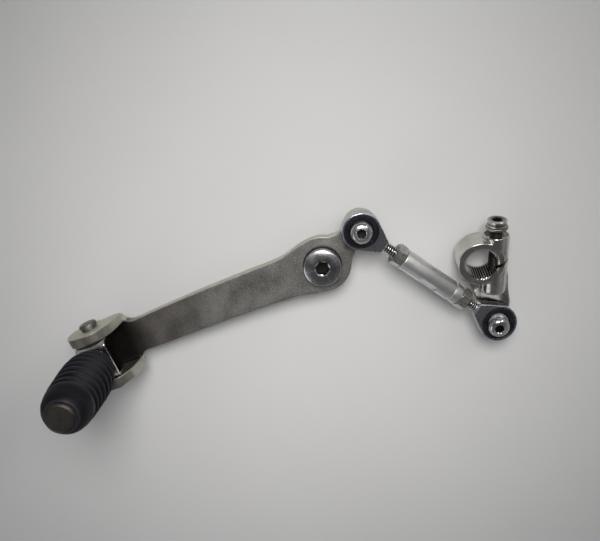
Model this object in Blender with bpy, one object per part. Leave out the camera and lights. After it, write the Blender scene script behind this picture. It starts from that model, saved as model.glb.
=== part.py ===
"""Motorcycle gear shift lever: pivoting lever with a folding peg, link rod and splined shift arm.

Metres, +Z up along the lever's pivot axis. The origin is the centre of the pivot bolt's inner end.
The lever runs along -X to the folding peg, and the link rod leads away to the shift arm.
"""

import math

import bmesh
import bpy
from mathutils import Matrix, Vector

MM = 0.001

# Clearances between pieces
FACE_GAP = 0.2 * MM
BORE_GAP = 0.15 * MM

# Segments of round shapes
FINE = 36
MEDIUM = 24
SMALL = 12

# Pivot, along Z
PLATE_BACK = 13.0 * MM
PLATE_FRONT = 18.0 * MM
SHOULDER_END = 8.6 * MM
SHOULDER_RADIUS = 6.0 * MM
PIVOT_THREAD_RADIUS = 4.0 * MM
PIVOT_HEAD_RADIUS = 9.2 * MM
PIVOT_SEAL_HEIGHT = 1.9 * MM
PIVOT_WASHER_HEIGHT = 1.6 * MM
PIVOT_HEAD_HEIGHT = 3.0 * MM
BUSH_RADIUS = 7.2 * MM

# Lever plate
BOSS_RADIUS = 14.2 * MM
LUG_RADIUS = 8.5 * MM
FORK_HALF_WIDTH = 15.5 * MM
EAR_THICKNESS = 5.0 * MM
EAR_RADIUS = 12.0 * MM
BEND_RADIUS = 5.5 * MM
FORK_WEB_END = -123.0 * MM
FORK_START = -105.3 * MM
PLATE_END = -108.5 * MM

# Folding peg
PIN_X = -119.4 * MM
PIN_Z = 26.0 * MM
PIN_RADIUS = 3.0 * MM
PIN_HEAD_RADIUS = 4.5 * MM
PIN_HEAD_HEIGHT = 3.0 * MM
BRACKET_THICKNESS = 1.5 * MM
BRACKET_HALF_LENGTH = 7.7 * MM
BRACKET_BEND = 3.2 * MM
BRACKET_TOP = 11.6 * MM
PEG_BASE = 12.4 * MM
PEG_END = 65.0 * MM
PEG_CORE_RADIUS = 6.0 * MM
PEG_CAP_RADIUS = 7.35 * MM
PEG_RINGS = 8
RING_PITCH = 5.0 * MM
RING_RADII = (9.3, 11.0, 12.1, 12.5, 12.5, 12.35, 12.15, 11.95)
RING_GROOVE = 1.9 * MM

# Rod ends: M5 male, with a ball in a sealed race
BALL_RADIUS = 6.35 * MM
BALL_HALF_WIDTH = 4.5 * MM
BALL_BORE = 3.15 * MM
HOUSING_RADIUS = 9.35 * MM
HOUSING_HALF_WIDTH = 3.4 * MM
HOUSING_BORE = 7.95 * MM
RACE_HALF_WIDTH = 2.5 * MM
SEAL_INNER_RADIUS = 5.95 * MM
SEAL_THICKNESS = 0.55 * MM
BOLT_RADIUS = 3.0 * MM
ROD_THREAD_RADIUS = 2.5 * MM
NECK_END = 14.3 * MM
SPACER_THICKNESS = 1.5 * MM
SPACER_RADIUS = 4.7 * MM
BUTTON_RADIUS = 5.3 * MM
BUTTON_HEIGHT = 3.3 * MM
NUT_ACROSS_FLATS = 10.0 * MM
LOCK_NUT_THICKNESS = 4.0 * MM

# Link rod, from the first ball's centre to the second's
LINK_START = Vector((24.2, 10.8, 24.4)) * MM
LINK_END = Vector((69.5, -61.0, 16.7)) * MM
LINK_END_ROLL = math.radians(-4.0)
JAM_NUT_START = 20.2 * MM
JAM_NUT_THICKNESS = 4.8 * MM
TUBE_RADIUS = 5.15 * MM
TUBE_BORE = 2.7 * MM
THREAD_ENGAGEMENT = 13.5 * MM
FLATS_START = 12.8 * MM
FLATS_END = 22.3 * MM
FLATS_TURN = math.radians(50.0)

# Shift arm, in its own frame: Y to the clamp, Z along the bolts' side that faces out
ARM_HEADING = math.radians(-4.1)
ARM_PITCH = math.radians(9.0)
ARM_ROLL = math.radians(-3.0)
ARM_LENGTH = 32.8 * MM
ARM_BACK = -11.5 * MM
ARM_FRONT = -6.0 * MM
ARM_LUG_RADIUS = 7.8 * MM
CLAMP_BACK = -15.0 * MM
CLAMP_FRONT = -1.0 * MM
CLAMP_RADIUS = 11.3 * MM
SPLINE_TEETH = 40
SPLINE_ROOT = 8.25 * MM
SPLINE_TIP = 7.45 * MM
SPLINE_LEAD = 8.5 * MM
SLOT_WIDTH = 1.5 * MM
SLOT_START = (7.86, -3.34)
SLOT_TURN = math.radians(8.5)
CLAMP_TURN = math.radians(-16.0)
CLAMP_BOLT_OFFSET = 7.2 * MM
CLAMP_BOLT_DEPTH = -7.3 * MM
CLAMP_BOSS_RADIUS = 6.5 * MM
CLAMP_BOSS_TOP = 13.3 * MM
CLAMP_BOSS_BOTTOM = -17.5 * MM
CLAMP_RECESS_RADIUS = 5.75 * MM
CLAMP_RECESS_DEPTH = 1.8 * MM
CLAMP_BOLT_GAP = 4.9 * MM
CLAMP_WASHER_RADIUS = 5.4 * MM
CLAMP_WASHER_THICKNESS = 1.2 * MM
CLAMP_HEAD_RADIUS = 4.75 * MM
CLAMP_HEAD_HEIGHT = 3.4 * MM
CLAMP_BOLT_LENGTH = 24.0 * MM


def clear_scene():
    for item in list(bpy.data.objects):
        bpy.data.objects.remove(item)


def make_material(name, finish):
    """A piece's own material, from a finish of colour, roughness and metallic value."""
    color, roughness, metallic = finish
    made = bpy.data.materials.new(name)
    made.use_nodes = True
    shader = made.node_tree.nodes["Principled BSDF"]
    shader.inputs["Base Color"].default_value = (*color, 1.0)
    shader.inputs["Roughness"].default_value = roughness
    shader.inputs["Metallic"].default_value = metallic
    made.diffuse_color = (*color, 1.0)
    return made


def make_axis(name, matrix, parent=None):
    """An empty on a joint's axis. The matrix is in its parent's frame."""
    axis = bpy.data.objects.new(name, None)
    bpy.context.scene.collection.objects.link(axis)
    axis.empty_display_size = 5 * MM
    axis.parent = parent
    axis.matrix_local = matrix
    return axis


def make_piece(name, shape, axis, finish=None):
    """The object of a bmesh that is given in its axis's frame. A hidden helper has no finish."""
    bmesh.ops.recalc_face_normals(shape, faces=shape.faces)
    mesh = bpy.data.meshes.new(name)
    shape.to_mesh(mesh)
    shape.free()
    mesh.shade_smooth()
    mesh.set_sharp_from_angle(angle=math.radians(32))
    piece = bpy.data.objects.new(name, mesh)
    bpy.context.scene.collection.objects.link(piece)
    piece.parent = axis
    if finish:
        mesh.materials.append(make_material(name, finish))
    return piece


def combine(piece, shape, operation):
    """Adds a Boolean of the bmesh, kept on a hidden helper, to the piece."""
    name = f"{piece.name}_helper_{len(piece.modifiers) + 1}"
    helper = make_piece(name, shape, piece.parent)
    helper.hide_render = True
    helper.display_type = "WIRE"
    modifier = piece.modifiers.new(name, "BOOLEAN")
    modifier.operation = operation
    modifier.object = helper


def loft(loops, closed=False):
    """A skin over loops of equally many points. Its ends are capped, or joined when closed."""
    shape = bmesh.new()
    rows = [[shape.verts.new(point) for point in loop] for loop in loops]
    pairs = list(zip(rows, rows[1:]))
    if closed:
        pairs.append((rows[-1], rows[0]))
    else:
        shape.faces.new(rows[0])
        shape.faces.new(rows[-1])
    for low, high in pairs:
        for i in range(len(low)):
            j = (i + 1) % len(low)
            shape.faces.new((low[i], low[j], high[j], high[i]))
    return shape


def round_loop(radius, height, count):
    steps = [2 * math.pi * i / count for i in range(count)]
    return [(radius * math.cos(a), radius * math.sin(a), height) for a in steps]


def hexagon_radius(across_flats, angle):
    sector = math.pi / 3
    return across_flats / 2 / math.cos((angle + sector / 2) % sector - sector / 2)


def hexagon_loop(across_flats, height, count):
    steps = [2 * math.pi * i / count for i in range(count)]
    radii = [hexagon_radius(across_flats, a) for a in steps]
    return [(r * math.cos(a), r * math.sin(a), height) for r, a in zip(radii, steps)]


def turned(profile, count=FINE, closed=False):
    """A body turned about Z from (radius, height) points."""
    return loft([round_loop(radius, height, count) for radius, height in profile], closed)


def tube(outer, inner, low, high, count=FINE, chamfer=0.0):
    """A turned ring with its outer edges chamfered."""
    profile = [
        (inner, low),
        (outer - chamfer, low),
        (outer, low + chamfer),
        (outer, high - chamfer),
        (outer - chamfer, high),
        (inner, high),
    ]
    if not chamfer:
        profile = [(inner, low), (outer, low), (outer, high), (inner, high)]
    return turned(profile, count, closed=True)


def nut(across_flats, bore, low, high, count=SMALL):
    """A hexagon nut whose corners are chamfered where they stand proud of the flats."""
    steps = [2 * math.pi * i / count for i in range(count)]
    flat = across_flats / 2 * 0.98
    slope = math.tan(math.radians(30))
    bottom, low_edge, high_edge, top = [], [], [], []
    for a in steps:
        radius = hexagon_radius(across_flats, a)
        drop = (radius - flat) * slope
        bottom.append((flat * math.cos(a), flat * math.sin(a), low))
        low_edge.append((radius * math.cos(a), radius * math.sin(a), low + drop))
        high_edge.append((radius * math.cos(a), radius * math.sin(a), high - drop))
        top.append((flat * math.cos(a), flat * math.sin(a), high))
    bore_low = round_loop(bore, low, count)
    bore_high = round_loop(bore, high, count)
    return loft([bore_low, bottom, low_edge, high_edge, top, bore_high], closed=True)


def prism(outline, low, high, place):
    """An outline of (a, b) points pushed from low to high, set in space by place(a, b, height)."""
    return loft([[place(a, b, h) for a, b in outline] for h in (low, high)])


def along_x(a, b, height):
    return (height, a, b)


def along_y(a, b, height):
    return (a, height, b)


def along_z(a, b, height):
    return (a, b, height)


def box(low, high):
    corners = [(low[0], low[1]), (high[0], low[1]), (high[0], high[1]), (low[0], high[1])]
    return prism(corners, low[2], high[2], along_z)


def arc(center, radius, start, end, count):
    """Points on an arc, from start to end in degrees."""
    steps = [math.radians(start + (end - start) * i / count) for i in range(count + 1)]
    return [(center[0] + radius * math.cos(a), center[1] + radius * math.sin(a)) for a in steps]


def curve_through(points, steps=3):
    """A smooth curve through the points, without its last one (Catmull-Rom)."""
    ends = [points[0], *points, points[-1]]
    made = []
    for p0, p1, p2, p3 in zip(ends, ends[1:], ends[2:], ends[3:]):
        for i in range(steps):
            t = i / steps
            weights = (
                -t / 2 + t * t - t**3 / 2,
                1 - 5 * t * t / 2 + 3 * t**3 / 2,
                t / 2 + 2 * t * t - 3 * t**3 / 2,
                -t * t / 2 + t**3 / 2,
            )
            made.append(tuple(sum(w * p[k] for w, p in zip(weights, (p0, p1, p2, p3))) for k in (0, 1)))
    return made


def in_mm(points):
    return [(a * MM, b * MM) for a, b in points]


def socket_screw(head, socket, socket_depth, shank_radius, tip, count=SMALL):
    """A screw along Z: a hexagon socket, head points (radius, height) from the top, and a shank."""
    top = head[0][1]
    rim = socket / math.sqrt(3) * 1.06
    loops = [
        hexagon_loop(socket, top - socket_depth, count),
        hexagon_loop(socket, top - 0.35 * MM, count),
        round_loop(rim, top, count),
    ]
    loops += [round_loop(radius, height, count) for radius, height in head]
    loops.append(round_loop(shank_radius, head[-1][1], count))
    loops.append(round_loop(shank_radius, tip + 0.5 * MM, count))
    loops.append(round_loop(shank_radius - 0.5 * MM, tip, count))
    return loft(loops)


# Pivot group


def make_pivot(axis, steel, rubber):
    seal_low = PLATE_FRONT + FACE_GAP
    seal_high = seal_low + PIVOT_SEAL_HEIGHT
    washer_low = seal_high + FACE_GAP
    washer_high = washer_low + PIVOT_WASHER_HEIGHT
    head_low = washer_high + FACE_GAP
    head_high = head_low + PIVOT_HEAD_HEIGHT
    bore = SHOULDER_RADIUS + BORE_GAP
    head = [
        (PIVOT_HEAD_RADIUS - 0.7 * MM, head_high),
        (PIVOT_HEAD_RADIUS, head_high - 0.7 * MM),
        (PIVOT_HEAD_RADIUS, head_low),
    ]
    rim = 4.0 * MM
    loops = [
        hexagon_loop(6.2 * MM, head_high - 3.6 * MM, FINE),
        hexagon_loop(6.2 * MM, head_high - 0.5 * MM, FINE),
        round_loop(rim, head_high, FINE),
    ]
    loops += [round_loop(radius, height, FINE) for radius, height in head]
    loops.append(round_loop(SHOULDER_RADIUS, head_low, FINE))
    loops.append(round_loop(SHOULDER_RADIUS, SHOULDER_END, FINE))
    loops.append(round_loop(PIVOT_THREAD_RADIUS, SHOULDER_END, FINE))
    loops.append(round_loop(PIVOT_THREAD_RADIUS, 0.8 * MM, FINE))
    loops.append(round_loop(PIVOT_THREAD_RADIUS - 0.8 * MM, 0.0, FINE))
    make_piece("pivot_bolt", loft(loops), axis, steel)
    make_piece("pivot_washer_front", tube(9.1 * MM, bore, washer_low, washer_high, chamfer=0.3 * MM), axis, steel)
    seal = tube(9.6 * MM, 7.4 * MM, seal_low, seal_high, chamfer=0.55 * MM)
    make_piece("pivot_seal_front", seal, axis, rubber)
    back_high = PLATE_BACK - FACE_GAP
    back_low = back_high - PIVOT_SEAL_HEIGHT
    make_piece("pivot_seal_back", tube(9.6 * MM, 7.4 * MM, back_low, back_high, MEDIUM), axis, rubber)
    spacer = tube(9.1 * MM, bore, SHOULDER_END, back_low - FACE_GAP, MEDIUM)
    make_piece("pivot_spacer", spacer, axis, steel)


# Lever group


def lever_outline():
    """The flat part of the lever, counter-clockwise, from the rod end's lug round to the fork and back."""
    lug = (LINK_START.x, LINK_START.y)
    points = arc(lug, LUG_RADIUS, -112, 150, 18)
    points += curve_through(in_mm([(14.6, 12.8), (11.8, 11.9), (9.4, 12.1)]), 2)
    points += arc((0, 0), BOSS_RADIUS, 58, 96, 6)
    top = [(-6.5, 13.6), (-12.5, 12.0), (-19, 10.6), (-35, 10.6), (-63, 10.3), (-90, 9.4), (-97.5, 9.0)]
    top += [(-101.0, 9.0), (-103.3, 9.9), (-104.9, 11.7), (-106.0, 13.4)]
    points += curve_through(in_mm(top))
    points += [(PLATE_END, 13.4 * MM), (PLATE_END, -13.4 * MM)]
    bottom = [(-106.0, -13.4), (-105.0, -11.4), (-103.6, -9.4), (-101.3, -8.4), (-97, -8.6), (-90, -8.7), (-57, -9.0)]
    bottom += [(-32, -9.8), (-18, -10.7), (-11.5, -12.1), (-6, -13.3)]
    points += curve_through(in_mm(bottom))
    points += arc((0, 0), BOSS_RADIUS, -98, -24, 11)
    points += in_mm([(15.0, -2.6), (18.0, 0.5)])
    return points


def fork_section():
    """Half-round bends between the web and the two ears, in Y and Z."""
    outer = FORK_HALF_WIDTH - BEND_RADIUS
    inner = FORK_HALF_WIDTH - EAR_THICKNESS
    low = PLATE_BACK + BEND_RADIUS
    top = PIN_Z + EAR_RADIUS + 1 * MM
    fillet = 1.5 * MM
    points = [(-FORK_HALF_WIDTH, top)]
    points += arc((-outer, low), BEND_RADIUS, 180, 270, 6)
    points += arc((outer, low), BEND_RADIUS, 270, 360, 6)
    points += [(FORK_HALF_WIDTH, top), (inner, top)]
    points += arc((inner - fillet, PLATE_FRONT + fillet), fillet, 0, -90, 3)
    points += arc((fillet - inner, PLATE_FRONT + fillet), fillet, 270, 180, 3)
    points += [(-inner, top)]
    return points


def fork_side():
    """The ears' side view, in X and Z."""
    below = PLATE_BACK - 1 * MM
    points = in_mm([(-105.3, 18.5), (-106.2, 25.0), (-107.7, 30.0)])
    points += arc((PIN_X, PIN_Z), EAR_RADIUS, 38, 255, 22)
    points += [(FORK_WEB_END, below), (FORK_START, below)]
    return points


def make_lever(axis, steel, zinc, bronze, bolt_steel):
    plate = make_piece("lever_plate", prism(lever_outline(), PLATE_BACK, PLATE_FRONT, along_z), axis, steel)
    fork = make_piece("fork_helper", prism(fork_section(), PIN_X - 14 * MM, FORK_START, along_x), axis)
    combine(fork, prism(fork_side(), -16 * MM, 16 * MM, along_y), "INTERSECT")
    inner = FORK_HALF_WIDTH - EAR_THICKNESS
    combine(fork, box((PIN_X - 15 * MM, -inner, 10 * MM), (FORK_WEB_END + 0.01 * MM, inner, 45 * MM)), "DIFFERENCE")
    fork.hide_render = True
    fork.display_type = "WIRE"
    joined = plate.modifiers.new("fork", "BOOLEAN")
    joined.operation = "UNION"
    joined.object = fork
    pivot_bore = turned([(BUSH_RADIUS + BORE_GAP, 10 * MM), (BUSH_RADIUS + BORE_GAP, 20 * MM)])
    combine(plate, pivot_bore, "DIFFERENCE")
    rod_bore = turned([(BALL_BORE, 10 * MM), (BALL_BORE, 20 * MM)], SMALL)
    bmesh.ops.translate(rod_bore, verts=rod_bore.verts, vec=(LINK_START.x, LINK_START.y, 0))
    combine(plate, rod_bore, "DIFFERENCE")
    pin_bore = turned([(PIN_RADIUS + BORE_GAP, -20 * MM), (PIN_RADIUS + BORE_GAP, 20 * MM)], MEDIUM)
    bmesh.ops.transform(pin_bore, matrix=pin_matrix(), verts=pin_bore.verts)
    combine(plate, pin_bore, "DIFFERENCE")
    bush = tube(BUSH_RADIUS, SHOULDER_RADIUS + BORE_GAP, PLATE_BACK, PLATE_FRONT, MEDIUM)
    make_piece("pivot_bush", bush, axis, bronze)
    make_hinge_pin(axis, zinc)
    make_link_bolt(axis, zinc, bolt_steel)


def pin_matrix():
    """Turns a shape made along Z onto the hinge pin's axis, with its top on the +Y side."""
    return Matrix.Translation((PIN_X, 0, PIN_Z)) @ Matrix.Rotation(math.radians(-90), 4, "X")


def make_hinge_pin(axis, zinc):
    head_low = FORK_HALF_WIDTH + FACE_GAP
    groove = -FORK_HALF_WIDTH - 0.5 * MM
    clip = 0.9 * MM
    profile = [
        (PIN_HEAD_RADIUS - 0.7 * MM, head_low + PIN_HEAD_HEIGHT),
        (PIN_HEAD_RADIUS, head_low + PIN_HEAD_HEIGHT - 0.7 * MM),
        (PIN_HEAD_RADIUS, head_low),
        (PIN_RADIUS, head_low),
        (PIN_RADIUS, groove),
        (PIN_RADIUS - 0.6 * MM, groove),
        (PIN_RADIUS - 0.6 * MM, groove - clip - 0.3 * MM),
        (PIN_RADIUS, groove - clip - 0.3 * MM),
        (PIN_RADIUS, groove - 2.3 * MM),
        (PIN_RADIUS - 0.4 * MM, groove - 2.7 * MM),
    ]
    pin = turned(profile, MEDIUM)
    bmesh.ops.transform(pin, matrix=pin_matrix(), verts=pin.verts)
    make_piece("hinge_pin", pin, axis, zinc)
    ring = tube(5.0 * MM, PIN_RADIUS - 0.45 * MM, groove - clip - 0.15 * MM, groove - 0.15 * MM, MEDIUM)
    bmesh.ops.transform(ring, matrix=pin_matrix(), verts=ring.verts)
    clip_piece = make_piece("pin_clip", ring, axis, zinc)
    mouth = box((-1.9 * MM, 0.0, -1.0 * MM), (1.9 * MM, 6 * MM, 1.0 * MM))
    center = (groove - 0.15 * MM - clip / 2) * Vector((0, 0, 1))
    bmesh.ops.translate(mouth, verts=mouth.verts, vec=center)
    bmesh.ops.transform(mouth, matrix=pin_matrix(), verts=mouth.verts)
    combine(clip_piece, mouth, "DIFFERENCE")


def button_head(seat):
    """A button head's (radius, height) points, from its flat top down to its seat."""
    return [
        (BUTTON_RADIUS - 2.3 * MM, seat + BUTTON_HEIGHT),
        (BUTTON_RADIUS - 1.1 * MM, seat + BUTTON_HEIGHT - 0.5 * MM),
        (BUTTON_RADIUS - 0.3 * MM, seat + BUTTON_HEIGHT - 1.5 * MM),
        (BUTTON_RADIUS, seat + BUTTON_HEIGHT - 2.6 * MM),
        (BUTTON_RADIUS, seat),
    ]


def make_link_bolt(axis, zinc, bolt_steel):
    place = Matrix.Translation((LINK_START.x, LINK_START.y, 0))
    seat = LINK_START.z + BALL_HALF_WIDTH + FACE_GAP
    nut_high = PLATE_BACK - FACE_GAP
    nut_low = nut_high - LOCK_NUT_THICKNESS
    bolt = socket_screw(button_head(seat), 4.0 * MM, 2.2 * MM, BOLT_RADIUS, nut_low - 1.2 * MM, MEDIUM)
    spacer = tube(SPACER_RADIUS, BALL_BORE, PLATE_FRONT + FACE_GAP, PLATE_FRONT + FACE_GAP + SPACER_THICKNESS, SMALL)
    lock_nut = nut(NUT_ACROSS_FLATS, BALL_BORE, nut_low, nut_high)
    for name, shape, finish in (
        ("rod_end_bolt_1", bolt, bolt_steel),
        ("spacer_1", spacer, zinc),
        ("lock_nut_1", lock_nut, zinc),
    ):
        bmesh.ops.transform(shape, matrix=place, verts=shape.verts)
        make_piece(name, shape, axis, finish)


# Folding peg, in a frame on the hinge pin with Z along the peg


def bracket_section():
    """The channel's section, in Y and Z: a web across the peg and two flanges beside the ears."""
    half = FORK_HALF_WIDTH - EAR_THICKNESS - 0.4 * MM
    wall = BRACKET_THICKNESS
    bend = BRACKET_BEND
    low = -7.5 * MM
    points = [(half, low)]
    points += arc((half - bend, BRACKET_TOP - bend), bend, 0, 90, 4)
    points += arc((bend - half, BRACKET_TOP - bend), bend, 90, 180, 4)
    points += [(-half, low), (wall - half, low)]
    points += arc((bend - half, BRACKET_TOP - bend), bend - wall, 180, 90, 4)
    points += arc((half - bend, BRACKET_TOP - bend), bend - wall, 90, 0, 4)
    points += [(half - wall, low)]
    return points


def bracket_side():
    """The flanges' side view, in X and Z: round about the pin, and straight up to the web."""
    radius = 6.8 * MM
    points = arc((0, 0), radius, 180, 360, 14)
    points += [(BRACKET_HALF_LENGTH, 6.5 * MM), (BRACKET_HALF_LENGTH, 13 * MM)]
    points += [(-BRACKET_HALF_LENGTH, 13 * MM), (-BRACKET_HALF_LENGTH, 6.5 * MM)]
    return points


def rubber_profile():
    """The sleeve's outside with its swelling rings and plain collar, then its bore, from the base up."""
    points = [(RING_RADII[0] * MM - RING_GROOVE, PEG_BASE)]
    for ring, crest in enumerate(RING_RADII):
        start = PEG_BASE + 0.8 * MM + ring * RING_PITCH
        points.append((crest * MM - RING_GROOVE, start))
        points.append((crest * MM - 0.1 * MM, start + 0.41 * RING_PITCH))
        points.append((crest * MM - 0.1 * MM, start + 0.59 * RING_PITCH))
    start = PEG_BASE + 0.8 * MM + PEG_RINGS * RING_PITCH
    end = PEG_END
    points.append((RING_RADII[-1] * MM - RING_GROOVE, start))
    points += [(11.5 * MM, start + 0.8 * MM), (11.5 * MM, start + 2.5 * MM), (11.1 * MM, end - 6.3 * MM)]
    points += [(10.6 * MM, end - 4.3 * MM), (9.7 * MM, end - 2.3 * MM), (8.4 * MM, end - 0.7 * MM)]
    points += [(7.5 * MM, end), (PEG_CORE_RADIUS + BORE_GAP, end), (PEG_CORE_RADIUS + BORE_GAP, PEG_BASE)]
    return points


def spring_shape():
    """A torsion spring's coil about the hinge pin, with both ends cut square."""
    turns, radius, wire, sides = 4.5, 4.6 * MM, 0.7 * MM, 6
    pitch = 1.75 * MM
    steps = int(turns * 12)
    loops = []
    for i in range(steps + 1):
        angle = 2 * math.pi * turns * i / steps
        along = Vector((math.cos(angle), 0, math.sin(angle)))
        center = along * radius + Vector((0, pitch * turns * (i / steps - 0.5), 0))
        loops.append(
            [
                center + along * wire * math.cos(b) + Vector((0, wire * math.sin(b), 0))
                for b in [2 * math.pi * k / sides for k in range(sides)]
            ]
        )
    return loft(loops)


def make_peg(axis, steel, core_steel, rubber):
    side = prism(bracket_side(), -16 * MM, 16 * MM, along_y)
    bracket = make_piece("peg_bracket", prism(bracket_section(), -9 * MM, 9 * MM, along_x), axis, steel)
    combine(bracket, side, "INTERSECT")
    pin_bore = turned([(PIN_RADIUS + BORE_GAP, -20 * MM), (PIN_RADIUS + BORE_GAP, 20 * MM)], MEDIUM)
    turn = Matrix.Rotation(math.radians(-90), 4, "X")
    bmesh.ops.transform(pin_bore, matrix=turn, verts=pin_bore.verts)
    combine(bracket, pin_bore, "DIFFERENCE")
    rivet_bore = turned([(4.0 * MM, 8 * MM), (4.0 * MM, 14 * MM)], SMALL)
    combine(bracket, rivet_bore, "DIFFERENCE")
    web_low = BRACKET_TOP - BRACKET_THICKNESS
    cap_low = PEG_END + FACE_GAP
    shaft = [
        (4.6 * MM, web_low - 1.2 * MM),
        (5.0 * MM, web_low - 0.8 * MM),
        (5.0 * MM, web_low - FACE_GAP),
        (3.8 * MM, web_low - FACE_GAP),
        (3.8 * MM, BRACKET_TOP + FACE_GAP),
        (PEG_CORE_RADIUS, BRACKET_TOP + FACE_GAP),
        (PEG_CORE_RADIUS, cap_low - FACE_GAP),
        (2.5 * MM, cap_low - FACE_GAP),
        (2.5 * MM, cap_low + 0.7 * MM),
    ]
    make_piece("peg_shaft", turned(shaft, MEDIUM), axis, core_steel)
    make_piece("peg_rubber", turned(rubber_profile(), FINE, closed=True), axis, rubber)
    cap = [
        (2.7 * MM, cap_low + 1.0 * MM),
        (2.7 * MM, cap_low),
        (PEG_CAP_RADIUS, cap_low),
        (PEG_CAP_RADIUS, cap_low + 0.8 * MM),
        (PEG_CAP_RADIUS - 0.35 * MM, cap_low + 1.5 * MM),
        (PEG_CAP_RADIUS - 1.1 * MM, cap_low + 2.2 * MM),
    ]
    make_piece("peg_end_cap", turned(cap, MEDIUM), axis, core_steel)
    make_piece("peg_spring", spring_shape(), axis, steel)


# Rod ends, in a frame on the ball's centre with X along the shank and Z through the ball


def ball_shape():
    half = math.degrees(math.asin(BALL_HALF_WIDTH / BALL_RADIUS))
    profile = arc((0, 0), BALL_RADIUS, -half, half, 6)
    profile += [(BALL_BORE, BALL_HALF_WIDTH), (BALL_BORE, -BALL_HALF_WIDTH)]
    return turned(profile, MEDIUM, closed=True)


def race_shape():
    inner = BALL_RADIUS + BORE_GAP
    outer = HOUSING_BORE - FACE_GAP
    half = math.degrees(math.asin(RACE_HALF_WIDTH / inner))
    profile = arc((0, 0), inner, half, -half, 4)
    profile += [(outer, -RACE_HALF_WIDTH), (outer, RACE_HALF_WIDTH)]
    return turned(profile, MEDIUM, closed=True)


def shank_shape(end):
    """The flat-sided neck and the threaded shank, lofted along X from inside the housing."""
    stations = (
        (4.0 * MM, 8.35 * MM, 3.2 * MM, 0.45),
        (8.0 * MM, 6.4 * MM, 3.3 * MM, 0.5),
        (11.0 * MM, 4.75 * MM, 3.3 * MM, 0.6),
        (NECK_END - 1.0 * MM, 3.5 * MM, 3.2 * MM, 0.8),
        (NECK_END, 3.0 * MM, 3.0 * MM, 1.0),
        (NECK_END, ROD_THREAD_RADIUS, ROD_THREAD_RADIUS, 1.0),
        (end - 0.5 * MM, ROD_THREAD_RADIUS, ROD_THREAD_RADIUS, 1.0),
        (end, ROD_THREAD_RADIUS - 0.5 * MM, ROD_THREAD_RADIUS - 0.5 * MM, 1.0),
    )
    loops = []
    for x, half_width, half_height, squareness in stations:
        loop = []
        for i in range(MEDIUM):
            a = 2 * math.pi * i / MEDIUM
            across = math.copysign(abs(math.cos(a)) ** squareness, math.cos(a))
            up = math.copysign(abs(math.sin(a)) ** squareness, math.sin(a))
            loop.append((x, half_width * across, half_height * up))
        loops.append(loop)
    return loft(loops)


def make_rod_end(number, axis, shank_end, bluish, race_steel, rubber):
    chamfer = 0.5 * MM
    disc = [
        (HOUSING_RADIUS - chamfer, -HOUSING_HALF_WIDTH),
        (HOUSING_RADIUS, chamfer - HOUSING_HALF_WIDTH),
        (HOUSING_RADIUS, HOUSING_HALF_WIDTH - chamfer),
        (HOUSING_RADIUS - chamfer, HOUSING_HALF_WIDTH),
    ]
    housing = make_piece(f"rod_end_{number}", turned(disc), axis, bluish)
    combine(housing, shank_shape(shank_end), "UNION")
    combine(housing, turned([(HOUSING_BORE, -8 * MM), (HOUSING_BORE, 8 * MM)]), "DIFFERENCE")
    make_piece(f"race_{number}", race_shape(), axis, race_steel)
    outer = HOUSING_BORE - FACE_GAP
    low = RACE_HALF_WIDTH + FACE_GAP
    for side, start in (("front", low), ("back", -low - SEAL_THICKNESS)):
        seal = tube(outer, SEAL_INNER_RADIUS, start, start + SEAL_THICKNESS, MEDIUM)
        make_piece(f"seal_{number}_{side}", seal, axis, rubber)


# Link rod, in the first rod end's frame


def on_rod(shape):
    """Turns a shape made along Z onto the rod's axis X."""
    bmesh.ops.transform(shape, matrix=Matrix.Rotation(math.radians(90), 4, "Y"), verts=shape.verts)
    return shape


def make_link(axis, nut_axis, tube_axis, length, zinc, aluminium):
    bore = ROD_THREAD_RADIUS + BORE_GAP
    start = JAM_NUT_START + JAM_NUT_THICKNESS + FACE_GAP
    end = length - start
    for name, low in (("jam_nut_1", JAM_NUT_START), ("jam_nut_2", end + FACE_GAP)):
        shape = on_rod(nut(NUT_ACROSS_FLATS, bore, low, low + JAM_NUT_THICKNESS))
        make_piece(name, shape, nut_axis, zinc)
    groove = end - 5.0 * MM
    edge = 0.5 * MM
    profile = [
        (TUBE_BORE, start),
        (TUBE_RADIUS - edge, start),
        (TUBE_RADIUS, start + edge),
        (TUBE_RADIUS, groove),
        (TUBE_RADIUS - 0.4 * MM, groove + 0.2 * MM),
        (TUBE_RADIUS - 0.4 * MM, groove + 0.7 * MM),
        (TUBE_RADIUS, groove + 0.9 * MM),
        (TUBE_RADIUS, end - edge),
        (TUBE_RADIUS - edge, end),
        (TUBE_BORE, end),
    ]
    body = make_piece("turnbuckle", on_rod(turned(profile, MEDIUM, closed=True)), tube_axis, aluminium)
    flat = 4.5 * MM
    for side in (1, -1):
        near, far = sorted((side * flat, side * 7 * MM))
        slab = box((start + FLATS_START, -7 * MM, near), (start + FLATS_END, 7 * MM, far))
        bmesh.ops.transform(slab, matrix=Matrix.Rotation(FLATS_TURN, 4, "X"), verts=slab.verts)
        combine(body, slab, "DIFFERENCE")


# Shift arm, in a frame on the second ball's centre


def spline_outline():
    """The splined bore: trapezoidal teeth round the clamp's centre."""
    points = []
    for tooth in range(SPLINE_TEETH):
        for share, radius in ((0.0, SPLINE_ROOT), (0.35, SPLINE_ROOT), (0.5, SPLINE_TIP), (0.85, SPLINE_TIP)):
            angle = 2 * math.pi * (tooth + share) / SPLINE_TEETH
            points.append((radius * math.cos(angle), ARM_LENGTH + radius * math.sin(angle)))
    return points


def arm_outline():
    points = arc((0, 0), ARM_LUG_RADIUS, 180, 365, 16)
    points += in_mm([(9.2, 5.5), (10.2, 14.0), (11.6, 22.0), (11.0, 30.0), (-7.0, 30.0), (-7.9, 22.0), (-7.2, 12.0)])
    points += in_mm([(-7.3, 5.0)])
    return points


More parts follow.
